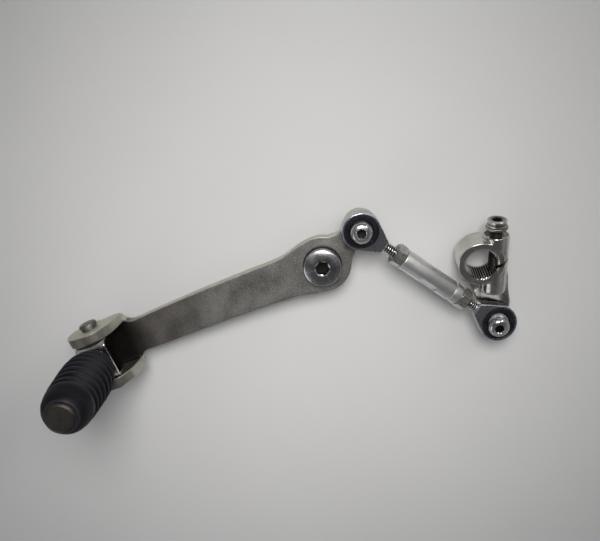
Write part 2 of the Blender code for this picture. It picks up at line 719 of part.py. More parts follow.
def clamp_frame():
    """The clamp bolt's frame: Z along the bolt to its head, X away from the splined bore."""
    turn = Matrix.Rotation(CLAMP_TURN, 4, "Z")
    center = Matrix.Translation((0, ARM_LENGTH, 0))
    offset = Matrix.Translation((CLAMP_BOLT_OFFSET, 0, CLAMP_BOLT_DEPTH))
    return center @ turn @ offset @ Matrix.Rotation(math.radians(-90), 4, "X")


def in_clamp(shape):
    bmesh.ops.transform(shape, matrix=clamp_frame(), verts=shape.verts)
    return shape


def make_arm(axis, cast_steel, zinc, bolt_steel):
    edge = 0.6 * MM
    arm = make_piece("shift_arm", prism(arm_outline(), ARM_BACK, ARM_FRONT, along_z), axis, cast_steel)
    ring = turned(
        [
            (CLAMP_RADIUS - edge, CLAMP_BACK),
            (CLAMP_RADIUS, CLAMP_BACK + edge),
            (CLAMP_RADIUS, CLAMP_FRONT - edge),
            (CLAMP_RADIUS - edge, CLAMP_FRONT),
        ]
    )
    bmesh.ops.translate(ring, verts=ring.verts, vec=(0, ARM_LENGTH, 0))
    combine(arm, ring, "UNION")
    boss = turned(
        [
            (CLAMP_BOSS_RADIUS - 1.5 * MM, CLAMP_BOSS_BOTTOM),
            (CLAMP_BOSS_RADIUS, CLAMP_BOSS_BOTTOM + 1.5 * MM),
            (CLAMP_BOSS_RADIUS, CLAMP_BOSS_TOP - edge),
            (CLAMP_BOSS_RADIUS - edge, CLAMP_BOSS_TOP),
        ],
        MEDIUM,
    )
    combine(arm, in_clamp(boss), "UNION")
    combine(arm, prism(spline_outline(), CLAMP_BACK - 1 * MM, CLAMP_FRONT + 1 * MM, along_z), "DIFFERENCE")
    lead = turned([(SPLINE_TIP, CLAMP_FRONT - 0.7 * MM), (SPLINE_LEAD + 0.75 * MM, CLAMP_FRONT + 0.5 * MM)])
    bmesh.ops.translate(lead, verts=lead.verts, vec=(0, ARM_LENGTH, 0))
    combine(arm, lead, "DIFFERENCE")
    start = Matrix.Translation((SLOT_START[0] * MM, ARM_LENGTH + SLOT_START[1] * MM, 0))
    turn = start @ Matrix.Rotation(SLOT_TURN, 4, "Z")
    slot = box((-3 * MM, -SLOT_WIDTH / 2, -20 * MM), (15 * MM, SLOT_WIDTH / 2, 4 * MM))
    bmesh.ops.transform(slot, matrix=turn, verts=slot.verts)
    combine(arm, slot, "DIFFERENCE")
    hole_radius = BOLT_RADIUS + BORE_GAP
    spotface = CLAMP_BOSS_TOP - CLAMP_RECESS_DEPTH
    bolt_hole = turned(
        [
            (hole_radius, CLAMP_BOSS_BOTTOM + 2.5 * MM),
            (hole_radius, spotface - 0.01 * MM),
            (CLAMP_RECESS_RADIUS, spotface),
            (CLAMP_RECESS_RADIUS, CLAMP_BOSS_TOP + 2 * MM),
        ],
        MEDIUM,
    )
    combine(arm, in_clamp(bolt_hole), "DIFFERENCE")
    link_hole = turned([(BALL_BORE, -20 * MM), (BALL_BORE, 4 * MM)], SMALL)
    combine(arm, link_hole, "DIFFERENCE")
    spacer_high = -BALL_HALF_WIDTH - FACE_GAP
    head_seat = BALL_HALF_WIDTH + FACE_GAP
    nut_high = ARM_BACK - FACE_GAP
    nut_low = nut_high - LOCK_NUT_THICKNESS
    bolt = socket_screw(button_head(head_seat), 4.0 * MM, 2.2 * MM, BOLT_RADIUS, nut_low + 0.1 * MM, MEDIUM)
    make_piece("rod_end_bolt_2", bolt, axis, bolt_steel)
    spacer = tube(SPACER_RADIUS, BALL_BORE, ARM_FRONT + FACE_GAP, spacer_high, SMALL)
    make_piece("spacer_2", spacer, axis, zinc)
    make_piece("lock_nut_2", nut(NUT_ACROSS_FLATS, BALL_BORE, nut_low, nut_high), axis, zinc)


def make_clamp_bolt(axis, zinc, bolt_steel):
    low = CLAMP_BOSS_TOP - CLAMP_RECESS_DEPTH + CLAMP_BOLT_GAP
    washer = tube(CLAMP_WASHER_RADIUS, BOLT_RADIUS + BORE_GAP, low, low + CLAMP_WASHER_THICKNESS, MEDIUM)
    make_piece("clamp_washer", washer, axis, zinc)
    seat = low + CLAMP_WASHER_THICKNESS + FACE_GAP
    top = seat + CLAMP_HEAD_HEIGHT
    head = [
        (CLAMP_HEAD_RADIUS - 0.5 * MM, top),
        (CLAMP_HEAD_RADIUS, top - 0.5 * MM),
        (CLAMP_HEAD_RADIUS, seat),
    ]
    screw = socket_screw(head, 4.0 * MM, 1.9 * MM, BOLT_RADIUS, seat - CLAMP_BOLT_LENGTH, MEDIUM)
    make_piece("clamp_bolt", screw, axis, bolt_steel)


def make_object():
    clear_scene()
    polished = ((0.62, 0.61, 0.60), 0.22, 1.0)
    blasted = ((0.30, 0.28, 0.25), 0.55, 1.0)
    zinc = ((0.45, 0.44, 0.40), 0.40, 1.0)
    bronze = ((0.55, 0.40, 0.20), 0.40, 1.0)
    core = ((0.22, 0.20, 0.18), 0.45, 1.0)
    housing = ((0.50, 0.52, 0.55), 0.30, 1.0)
    cast = ((0.58, 0.55, 0.50), 0.18, 1.0)
    aluminium = ((0.62, 0.62, 0.60), 0.38, 1.0)
    rubber = ((0.020, 0.020, 0.024), 0.60, 0.0)

    pivot = make_axis("lever_pivot_axis", Matrix.Identity(4))
    make_pivot(pivot, polished, rubber)
    make_lever(pivot, blasted, zinc, bronze, polished)

    peg = make_axis("peg_fold_axis", Matrix.Translation((PIN_X, 0, PIN_Z)), pivot)
    make_peg(peg, blasted, core, rubber)

    link = LINK_END - LINK_START
    heading = Matrix.Rotation(math.atan2(link.y, link.x), 4, "Z")
    pitch = Matrix.Rotation(-math.asin(link.z / link.length), 4, "Y")
    first_swivel = make_axis("rod_end_1_swivel_axis", Matrix.Translation(LINK_START), pivot)
    make_piece("ball_1", ball_shape(), first_swivel, polished)
    first = make_axis("rod_end_1_tilt_axis", heading @ pitch, first_swivel)
    shank_end = JAM_NUT_START + JAM_NUT_THICKNESS + THREAD_ENGAGEMENT
    make_rod_end(1, first, shank_end, housing, polished, rubber)
    nuts = make_axis("length_adjust_axis", Matrix.Identity(4), first)
    turning = make_axis("turnbuckle_axis", Matrix.Identity(4), nuts)
    make_link(first, nuts, turning, link.length, zinc, aluminium)

    turned_back = Matrix.Rotation(LINK_END_ROLL, 4, "X") @ Matrix.Rotation(math.pi, 4, "Z")
    second = make_axis("rod_end_2_slide_axis", Matrix.Translation((link.length, 0, 0)) @ turned_back, first)
    make_rod_end(2, second, shank_end, housing, polished, rubber)

    arm_turn = (
        Matrix.Rotation(ARM_HEADING, 4, "Z")
        @ Matrix.Rotation(ARM_PITCH, 4, "X")
        @ Matrix.Rotation(ARM_ROLL, 4, "Y")
    )
    arm = make_axis("shift_arm_axis", Matrix.Translation(LINK_END) @ arm_turn)
    make_piece("ball_2", ball_shape(), arm, polished)
    make_arm(arm, cast, zinc, polished)
    clamp = make_axis("clamp_bolt_axis", clamp_frame(), arm)
    make_clamp_bolt(clamp, zinc, polished)


make_object()
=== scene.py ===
"""The looks of the gear shift lever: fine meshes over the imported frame, materials, light and camera."""

import math

import bmesh
import bpy
from mathutils import Matrix, Vector


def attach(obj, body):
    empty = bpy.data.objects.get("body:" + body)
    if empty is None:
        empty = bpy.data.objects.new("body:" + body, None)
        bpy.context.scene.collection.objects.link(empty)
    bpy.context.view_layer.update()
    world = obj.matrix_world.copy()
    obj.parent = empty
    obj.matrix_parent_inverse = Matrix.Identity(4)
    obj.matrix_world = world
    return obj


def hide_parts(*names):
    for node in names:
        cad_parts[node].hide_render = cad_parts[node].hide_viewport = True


MM = 0.001

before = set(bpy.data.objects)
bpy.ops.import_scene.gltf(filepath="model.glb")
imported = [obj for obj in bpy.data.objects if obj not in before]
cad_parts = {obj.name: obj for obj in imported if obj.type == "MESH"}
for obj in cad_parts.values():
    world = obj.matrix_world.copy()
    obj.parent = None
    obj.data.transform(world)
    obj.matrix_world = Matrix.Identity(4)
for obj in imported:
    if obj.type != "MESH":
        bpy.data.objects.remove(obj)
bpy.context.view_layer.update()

# Places and sizes, as in the frame: metres, with the pivot's axis on Z

PLATE_BACK, PLATE_FRONT = 13.0 * MM, 18.0 * MM
BUSH_RADIUS = 7.2 * MM
PLATE_BORE = 7.35 * MM
PIVOT_BORE = 6.15 * MM
SHOULDER_RADIUS = 6.0 * MM
SHOULDER_END = 8.6 * MM
PIVOT_THREAD_RADIUS = 4.0 * MM
WASHER_RADIUS = 9.1 * MM
BOSS_RADIUS = 14.2 * MM
LUG_RADIUS = 8.5 * MM
FORK_HALF_WIDTH = 15.5 * MM
EAR_THICKNESS = 5.0 * MM
EAR_RADIUS = 12.0 * MM
BEND_RADIUS = 5.5 * MM
FORK_WEB_END = -123.0 * MM
FORK_START = -105.3 * MM
PLATE_END = -108.5 * MM
PIN_X, PIN_Z = -119.4 * MM, 26.0 * MM
PIN_RADIUS = 3.0 * MM
PIN_BORE = PIN_RADIUS + 0.12 * MM
BRACKET_TOP = 11.6 * MM
BRACKET_THICKNESS = 1.5 * MM
PEG_BASE, PEG_END = 12.4 * MM, 65.0 * MM
PEG_CORE_RADIUS = 6.0 * MM
PEG_BORE = 6.15 * MM
BALL_RADIUS = 6.35 * MM
BALL_HALF_WIDTH = 4.5 * MM
BALL_BORE = 3.15 * MM
HOUSING_RADIUS = 9.35 * MM
HOUSING_HALF_WIDTH = 3.4 * MM
HOUSING_BORE = 7.95 * MM
NECK_END = 14.3 * MM
RACE_HALF_WIDTH = 2.5 * MM
SEAL_INNER_RADIUS = 5.95 * MM
ROD_THREAD_RADIUS = 2.5 * MM
THREAD_ENGAGEMENT = 13.5 * MM
BOLT_RADIUS = 3.0 * MM
BUTTON_HEIGHT = 3.3 * MM
BUTTON_TOP = 3.5 * MM  # above the ball's face
BUTTON_SOCKET = 2.45 * MM
SPACER_RADIUS = 4.7 * MM
JAM_NUT_START = 20.2 * MM
JAM_NUT_THICKNESS = 4.8 * MM
NUT_WIDTH = 10.0 * MM
LOCK_NUT_THICKNESS = 4.0 * MM
FACE_GAP = 0.2 * MM  # between neighbouring pieces
TUBE_RADIUS = 5.15 * MM
TUBE_BORE = 2.7 * MM
FLATS_START, FLATS_END = 12.8 * MM, 22.3 * MM
FLATS_HALF_WIDTH = 4.5 * MM
LINK_START = Vector((24.2, 10.8, 24.4)) * MM
LINK_END = Vector((69.5, -61.0, 16.7)) * MM
ARM_LENGTH = 32.8 * MM
ARM_BACK, ARM_FRONT = -11.5 * MM, -6.0 * MM
CLAMP_BACK, CLAMP_FRONT = -15.0 * MM, -1.0 * MM
CLAMP_RADIUS = 11.3 * MM
CLAMP_TURN = -16.0  # degrees, as are the turns below
CLAMP_BOLT_OFFSET, CLAMP_BOLT_DEPTH = 7.2 * MM, -7.3 * MM
CLAMP_BOSS_TOP = 13.3 * MM
ARM_HEADING, ARM_PITCH, ARM_ROLL = -4.1, 9.0, -3.0
SPLINE_TEETH = 40
SLOT_START = Vector((7.86 * MM, ARM_LENGTH - 3.34 * MM, 0))
SLOT_TURN = 8.5
SLOT_HALF_WIDTH = 0.75 * MM

LINK_LENGTH = (LINK_END - LINK_START).length


def rotated(degrees, axis):
    return Matrix.Rotation(math.radians(degrees), 4, axis)


def link_frame():
    link = LINK_END - LINK_START
    heading = Matrix.Rotation(math.atan2(link.y, link.x), 4, "Z")
    pitch = Matrix.Rotation(-math.asin(link.z / link.length), 4, "Y")
    return Matrix.Translation(LINK_START) @ heading @ pitch


def arm_frame():
    turns = rotated(ARM_HEADING, "Z") @ rotated(ARM_PITCH, "X") @ rotated(ARM_ROLL, "Y")
    return Matrix.Translation(LINK_END) @ turns


# Local frames: Z is the axis of the bolt, pin, ball, peg or rod, and X runs along a rod end

PIVOT = Matrix.Identity(4)
LINK_BOLT = Matrix.Translation((LINK_START.x, LINK_START.y, 0))
PEG = Matrix.Translation((PIN_X, 0, PIN_Z))
PIN = PEG @ rotated(-90, "X")
FIRST_BALL = Matrix.Translation(LINK_START)
FIRST_END = link_frame()
SECOND_END = FIRST_END @ Matrix.Translation((LINK_LENGTH, 0, 0)) @ rotated(-4, "X") @ rotated(180, "Z")
ROD = FIRST_END @ rotated(90, "Y")
ARM = arm_frame()
BORE = ARM @ Matrix.Translation((0, ARM_LENGTH, 0)) @ rotated(CLAMP_TURN, "Z")
CLAMP = BORE @ Matrix.Translation((CLAMP_BOLT_OFFSET, 0, CLAMP_BOLT_DEPTH)) @ rotated(-90, "X")


# Mesh helpers

SHORTEST = 1e-6
NEARLY_STRAIGHT = math.radians(172)


def loft(loops, closed=False):
    """A skin over loops of equally many points. Its ends are capped, or joined when closed."""
    shape = bmesh.new()
    rows = [[shape.verts.new(point) for point in loop] for loop in loops]
    pairs = list(zip(rows, rows[1:]))
    if closed:
        pairs.append((rows[-1], rows[0]))
    else:
        shape.faces.new(rows[0])
        shape.faces.new(rows[-1])
    for low, high in pairs:
        for i in range(len(low)):
            j = (i + 1) % len(low)
            shape.faces.new((low[i], low[j], high[j], high[i]))
    bmesh.ops.recalc_face_normals(shape, faces=shape.faces)
    return shape


def angles(count):
    return [2 * math.pi * i / count for i in range(count)]


def round_loop(radius, height, count):
    return [(radius * math.cos(a), radius * math.sin(a), height) for a in angles(count)]


def rounds(points, base, count):
    """Round loops at (radius, height) points, in millimetres above a base."""
    return [round_loop(radius * MM, base + height * MM, count) for radius, height in points]


def hexagon_radius(width, angle):
    sector = math.pi / 3
    return width / 2 / math.cos((angle + sector / 2) % sector - sector / 2)


def hexagon_loop(width, height, count):
    return [
        (hexagon_radius(width, a) * math.cos(a), hexagon_radius(width, a) * math.sin(a), height)
        for a in angles(count)
    ]


def soften(points, radius, steps=4, closed=False):
    """Rounds a polyline's corners with short curves."""
    made = []
    count = len(points)
    for i, point in enumerate(points):
        here = Vector((*point, 0))
        if not closed and i in (0, count - 1):
            made.append(point)
            continue
        before = Vector((*points[i - 1], 0)) - here
        after = Vector((*points[(i + 1) % count], 0)) - here
        reach = min(radius, before.length * 0.45, after.length * 0.45)
        if reach < SHORTEST or before.angle(after) > NEARLY_STRAIGHT:
            made.append(point)
            continue
        start = here + before.normalized() * reach
        end = here + after.normalized() * reach
        for k in range(steps + 1):
            t = k / steps
            spot = start * (1 - t) ** 2 + here * 2 * t * (1 - t) + end * t**2
            made.append((spot.x, spot.y))
    return made


def turned(profile, count=96, closed=False):
    return loft([round_loop(radius, height, count) for radius, height in profile], closed)


def ring(outer, inner, low, high, edge=0.25 * MM, count=96):
    """A turned ring with all its edges rounded."""
    corners = [(inner, low), (outer, low), (outer, high), (inner, high)]
    return turned(soften(corners, edge, 4, closed=True), count, closed=True)


def thread_loops(radius, low, high, count=48, pitch=1.0 * MM, depth=0.5 * MM):
    """Loops of a helical thread that fades out at both ends, from low to high."""
    rows = max(8, int(abs(high - low) / pitch * 10))
    loops = []
    for row in range(rows + 1):
        height = low + (high - low) * row / rows
        fade = min(1.0, min(row, rows - row) / 8)
        loop = []
        for a in angles(count):
            wave = abs(((height / pitch - a / (2 * math.pi)) % 1.0) * 2 - 1)
            bite = depth * fade * min(1.0, max(0.0, wave * 1.25 - 0.1))
            loop.append(((radius - bite) * math.cos(a), (radius - bite) * math.sin(a), height))
        loops.append(loop)
    return loops


def prism(outline, low, high, place):
    return loft([[place(a, b, h) for a, b in outline] for h in (low, high)])


def along_x(a, b, height):
    return (height, a, b)


def along_y(a, b, height):
    return (a, height, b)


def along_z(a, b, height):
    return (a, b, height)


def box(low, high):
    corners = [(low[0], low[1]), (high[0], low[1]), (high[0], high[1]), (low[0], high[1])]
    return prism(corners, low[2], high[2], along_z)


def arc(center, radius, start, end, count):
    steps = [math.radians(start + (end - start) * i / count) for i in range(count + 1)]
    return [(center[0] + radius * math.cos(a), center[1] + radius * math.sin(a)) for a in steps]


def curve_through(points, steps=8):
    """A smooth curve through the points, without its last one (Catmull-Rom)."""
    ends = [points[0], *points, points[-1]]
    made = []
    for p0, p1, p2, p3 in zip(ends, ends[1:], ends[2:], ends[3:]):
        for i in range(steps):
            t = i / steps
            weights = (
                -t / 2 + t * t - t**3 / 2,
                1 - 5 * t * t / 2 + 3 * t**3 / 2,
                t / 2 + 2 * t * t - 3 * t**3 / 2,
                -t * t / 2 + t**3 / 2,
            )
            near = (p0, p1, p2, p3)
            made.append(tuple(sum(w * p[k] for w, p in zip(weights, near)) for k in (0, 1)))
    return made


def in_mm(points):
    return [(a * MM, b * MM) for a, b in points]


def rounded_prism(outline, low, high, place, edge):
    """A prism whose rims at both ends are rounded."""
    shape = prism(outline, low, high, place)
    rims = [e for e in shape.edges if any(len(f.verts) > 4 for f in e.link_faces)]
    bmesh.ops.bevel(
        shape, geom=rims, offset=edge, segments=4, profile=0.5, affect="EDGES", clamp_overlap=True
    )
    return shape


def moved(shape, matrix):
    bmesh.ops.transform(shape, matrix=matrix, verts=shape.verts)
    return shape


def drill(radius, low, high, matrix=PIVOT, count=72):
    """A round cutter along the Z axis of a local frame."""
    return moved(turned([(radius, low), (radius, high)], count), matrix)


def new_object(name, shape):
    mesh = bpy.data.meshes.new(name)
    shape.to_mesh(mesh)
    shape.free()
    made = bpy.data.objects.new(name, mesh)
    bpy.context.scene.collection.objects.link(made)
    return made


def bake(made):
    """Replaces an object's mesh with what its modifiers make of it."""
    bpy.context.view_layer.update()
    evaluated = made.evaluated_get(bpy.context.evaluated_depsgraph_get())
    mesh = bpy.data.meshes.new_from_object(evaluated)
    made.modifiers.clear()
    made.data = mesh


def combine(made, operation, *shapes):
    """Booleans the shapes into the object's mesh, one after another."""
    for shape in shapes:
        helper = new_object("helper", shape)
        modifier = made.modifiers.new("combine", "BOOLEAN")
        modifier.operation = operation
        modifier.object = helper
        bake(made)
        bpy.data.objects.remove(helper)


def melt(made, voxel, passes):
    """Remeshes the object finely and smooths it, so that joined shapes flow into each other."""
    modifier = made.modifiers.new("remesh", "REMESH")
    modifier.mode = "VOXEL"
    modifier.voxel_size = voxel
    smoother = made.modifiers.new("smooth", "SMOOTH")
    smoother.factor = 0.5
    smoother.iterations = passes
    bake(made)


def show(made, matrix, body, nodes, material, sharp=35):
    """Places a finished shape in the frame, in the stead of its CAD nodes."""
    if isinstance(made, bmesh.types.BMesh):
        made = new_object(f"{nodes[0]}_fine", made)
    made.name = f"{nodes[0]}_fine"
    made.data.transform(matrix)
    made.data.shade_smooth()
    made.data.set_sharp_from_angle(angle=math.radians(sharp))
    made.data.materials.clear()
    made.data.materials.append(material)
    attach(made, body)
    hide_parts(*nodes)
    return made


# Materials

# Pairs run from the darker to the lighter tone of a metal
POLISHED = ((0.42, 0.42, 0.43), (0.70, 0.70, 0.70))
ZINC = ((0.22, 0.215, 0.19), (0.42, 0.41, 0.37))
BLUISH = ((0.32, 0.33, 0.355), (0.46, 0.47, 0.50))
RUST = (0.36, 0.27, 0.13)
# Painted shade for the insides of screw sockets
SOCKET_SHADE = (0.020, 0.018, 0.016)
# The colour of a bolt's shank below its seat, darker than the rest
DARK_SHANK = (0.050, 0.043, 0.036)


class Shading:
    """Builds one material's nodes in the local frame of the piece that it is for."""

    def __init__(self, name, matrix):
        self.material = bpy.data.materials.new(name)
        self.material.use_nodes = True
        self.nodes = self.material.node_tree.nodes
        self.links = self.material.node_tree.links
        self.shader = self.nodes["Principled BSDF"]
        coordinates = self.nodes.new("ShaderNodeTexCoord")
        mapping = self.nodes.new("ShaderNodeMapping")
        mapping.vector_type = "TEXTURE"
        mapping.inputs["Location"].default_value = matrix.translation
        mapping.inputs["Rotation"].default_value = matrix.to_euler()
        self.links.new(coordinates.outputs["Object"], mapping.inputs["Vector"])
        self.place = mapping.outputs["Vector"]
        self.normal = coordinates.outputs["Normal"]

    def put(self, target, value):
        if isinstance(value, bpy.types.NodeSocket):
            self.links.new(value, target)
        else:
            target.default_value = value

    def math(self, operation, a, b=0.0):
        node = self.nodes.new("ShaderNodeMath")
        node.operation = operation
        self.put(node.inputs[0], a)
        self.put(node.inputs[1], b)
        return node.outputs[0]

    def total(self, *shares):
        """The sum of values, each times its weight."""
        made, *others = [self.math("MULTIPLY", value, weight) for value, weight in shares]
        for term in others:
            made = self.math("ADD", made, term)
        return made

    def noise(self, scale, detail=4.0, rough=0.55, stretch=(1, 1, 1), shift=0.0, vector=None):
        scaled = self.nodes.new("ShaderNodeVectorMath")
        scaled.operation = "MULTIPLY_ADD"
        self.links.new(vector or self.place, scaled.inputs[0])
        scaled.inputs[1].default_value = [scale * s for s in stretch]
        scaled.inputs[2].default_value = (shift, shift * 1.7, shift * 0.6)
        node = self.nodes.new("ShaderNodeTexNoise")
        node.inputs["Scale"].default_value = 1.0
        node.inputs["Detail"].default_value = detail
        node.inputs["Roughness"].default_value = rough
        self.links.new(scaled.outputs["Vector"], node.inputs["Vector"])
        return node.outputs["Fac"]

    def parts(self):
        node = self.nodes.new("ShaderNodeSeparateXYZ")
        self.links.new(self.place, node.inputs[0])
        return node.outputs

    def from_axis(self, first=0, second=1):
        """Distance from the local axis that is square to the two coordinates named."""
        parts = self.parts()
        squares = [self.math("POWER", parts[index], 2.0) for index in (first, second)]
        return self.math("SQRT", self.math("ADD", *squares))

    def turning(self, scale):
        """Noise that is the same all round the local Z axis, like a lathe's marks."""
        joined = self.nodes.new("ShaderNodeCombineXYZ")
        self.links.new(self.from_axis(), joined.inputs[0])
        self.links.new(self.parts()[2], joined.inputs[1])
        return self.noise(scale, 3.0, 0.6, vector=joined.outputs[0])

    def ranged(self, value, low, high, out_low=0.0, out_high=1.0):
        node = self.nodes.new("ShaderNodeMapRange")
        node.interpolation_type = "SMOOTHSTEP"
        self.put(node.inputs["Value"], value)
        node.inputs["From Min"].default_value = low
        node.inputs["From Max"].default_value = high
        node.inputs["To Min"].default_value = out_low
        node.inputs["To Max"].default_value = out_high
        return node.outputs["Result"]

    def mix(self, share, a, b):
        node = self.nodes.new("ShaderNodeMix")
        node.data_type = "RGBA"
        self.put(node.inputs[0], share)
        self.put(node.inputs[6], a if isinstance(a, bpy.types.NodeSocket) else (*a, 1.0))
        self.put(node.inputs[7], b if isinstance(b, bpy.types.NodeSocket) else (*b, 1.0))
        return node.outputs[2]

    def socket(self, radius, mouth):
        """One inside a screw's socket, under its mouth, and nought elsewhere."""
        near = self.ranged(self.from_axis(), radius * 0.97, radius, 1.0, 0.0)
        deep = self.ranged(self.parts()[2], mouth - 0.75 * MM, mouth - 0.3 * MM, 1.0, 0.0)
        return self.math("MULTIPLY", near, deep)

    def edges(self, low=0.515, high=0.56):
        """One on convex edges, where handling rubs the surface and where painted highlights go, and
        nought on flat places.
        """
        node = self.nodes.new("ShaderNodeNewGeometry")
        return self.ranged(node.outputs["Pointiness"], low, high)

    def bump(self, height, distance, strength=1.0, under=None):
        node = self.nodes.new("ShaderNodeBump")
        node.inputs["Strength"].default_value = strength
        node.inputs["Distance"].default_value = distance
        self.links.new(height, node.inputs["Height"])
        if under:
            self.links.new(under, node.inputs["Normal"])
        return node.outputs["Normal"]

    def finish(self, color, roughness, normal, metallic=1.0):
        self.links.new(color, self.shader.inputs["Base Color"])
        self.put(self.shader.inputs["Roughness"], roughness)
        self.links.new(normal, self.shader.inputs["Normal"])
        self.shader.inputs["Metallic"].default_value = metallic
        return self.material


def machined(
    name, matrix, dark, light, smooth=0.16, rough=0.34, marks=2600,
    stain=0.0, edge=(0.85, 0.85, 0.83), socket=None, shank=None,
):
    """A turned and polished steel: lathe marks, faint clouds, bright edges, small stains, painted shade
    inside a socket of the radius and mouth given, and a dark shank below the height given."""
    s = Shading(name, matrix)
    lathe = s.turning(marks)
    cloud = s.noise(170, 4.0)
    fine = s.noise(5200, 3.0, 0.6)
    color = s.mix(s.ranged(s.total((lathe, 0.5), (cloud, 0.6)), 0.36, 0.74), dark, light)
    if stain:
        spots = s.ranged(s.noise(240, 3.0, 0.5, shift=4.2), 0.60, 0.72, 0.0, stain)
        color = s.mix(spots, color, RUST)
    color = s.mix(s.math("MULTIPLY", s.edges(), 0.55), color, edge)
    roughness = s.ranged(s.total((cloud, 0.6), (fine, 0.5)), 0.32, 0.78, smooth, rough)
    if socket:
        # Painted shade inside the socket, below its mouth
        socket_shade = s.socket(*socket)
        color = s.mix(socket_shade, color, SOCKET_SHADE)
        roughness = s.math("MAXIMUM", roughness, s.math("MULTIPLY", socket_shade, 0.55))
    # The shank below the seat is coloured darker
    if shank:
        slim = s.ranged(s.from_axis(), BOLT_RADIUS + 0.05 * MM, BOLT_RADIUS + 0.10 * MM, 0.9, 0.0)
        below = s.ranged(s.parts()[2], shank - 0.2 * MM, shank, 1.0, 0.0)
        color = s.mix(s.math("MULTIPLY", slim, below), color, DARK_SHANK)
    normal = s.bump(lathe, 0.000012, 0.5)
    normal = s.bump(fine, 0.000010, 0.35, normal)
    return s.finish(color, roughness, normal)


def plated(
    name, matrix, dark, light, smooth=0.26, rough=0.5,
    tint=(0.42, 0.38, 0.24), root_shade_radii=None, worn=0.5,
):
    """Zinc-plated hardware: mottled, a little yellowed, with dull and bright patches, rubbed edges
    and, between the two radii from local X given as root_shade_radii, painted shade in the thread's
    grooves."""
    s = Shading(name, matrix)
    cloud = s.noise(420, 5.0, 0.6)
    fine = s.noise(6500, 3.0, 0.6)
    color = s.mix(s.ranged(cloud, 0.34, 0.68), dark, light)
    color = s.mix(s.ranged(s.noise(260, 3.0, shift=2.3), 0.5, 0.72, 0.0, 0.4), color, tint)
    # Painted shade in the thread's grooves
    if root_shade_radii:
        color = s.mix(s.ranged(s.from_axis(1, 2), *root_shade_radii, 0.96, 0.0), color, (0.020, 0.018, 0.015))
    color = s.mix(s.math("MULTIPLY", s.edges(), worn), color, (0.78, 0.77, 0.73))
    roughness = s.ranged(s.total((cloud, 0.5), (fine, 0.5)), 0.32, 0.7, smooth, rough)
    normal = s.bump(fine, 0.00002, 0.5)
    normal = s.bump(cloud, 0.00004, 0.3, normal)
    return s.finish(color, roughness, normal)


def blasted(name, matrix, dark, light, side):
    """Bead-blasted steel: grainy and mottled on its faces, paler and yellower on its rims as a painted
    highlight, darker and browner towards the fork as painted shade and painted near black as shade
    between the fork's ears."""
    s = Shading(name, matrix)
    grain = s.noise(3300, 5.0, 0.7)
    speck = s.noise(1500, 4.0, 0.65, shift=3.0)
    blotch = s.noise(95, 5.0, 0.6)
    wide = s.noise(26, 3.0, 0.5, shift=1.4)
    tone = s.total((grain, 0.46), (speck, 0.40), (blotch, 0.26), (wide, 0.16))
    color = s.mix(s.ranged(tone, 0.46, 0.82), dark, light)
    parts = s.parts()
    # Painted shade: darker and browner towards the fork
    color = s.mix(s.ranged(parts[0], -100 * MM, -40 * MM, 0.5, 0.0), color, (0.105, 0.088, 0.075))
    pits = s.ranged(s.noise(2100, 2.0, 0.5, shift=7.0), 0.30, 0.40, 1.0, 0.0)
    color = s.mix(s.math("MULTIPLY", pits, 0.55), color, (0.10, 0.09, 0.075))
    # Painted highlight: faces whose normals lie across Z are paler and yellower
    facing = s.nodes.new("ShaderNodeSeparateXYZ")
    s.links.new(s.normal, facing.inputs[0])
    rim = s.ranged(s.math("ABSOLUTE", facing.outputs[2]), 0.25, 0.85, 1.0, 0.0)
    painted_rim_highlight = s.mix(s.ranged(speck, 0.35, 0.68), side, [c * 0.78 for c in side])
    color = s.mix(s.math("MULTIPLY", rim, 0.85), color, painted_rim_highlight)
    color = s.mix(s.math("MULTIPLY", s.edges(0.51, 0.55), 0.4), color, (0.66, 0.64, 0.56))
    # Painted shade: near black between the fork's ears
    within = s.ranged(s.math("ABSOLUTE", parts[1]), 10.3 * MM, 10.8 * MM, 1.0, 0.0)
    fork_shade = s.math("MULTIPLY", within, s.ranged(parts[0], -108 * MM, -94 * MM, 0.94, 0.0))
    color = s.mix(fork_shade, color, (0.012, 0.010, 0.009))
    roughness = s.ranged(s.total((grain, 0.6), (blotch, 0.4)), 0.36, 0.66, 0.40, 0.62)
    normal = s.bump(grain, 0.00006, 0.55)
    normal = s.bump(speck, 0.00008, 0.35, normal)
    return s.finish(color, roughness, normal)


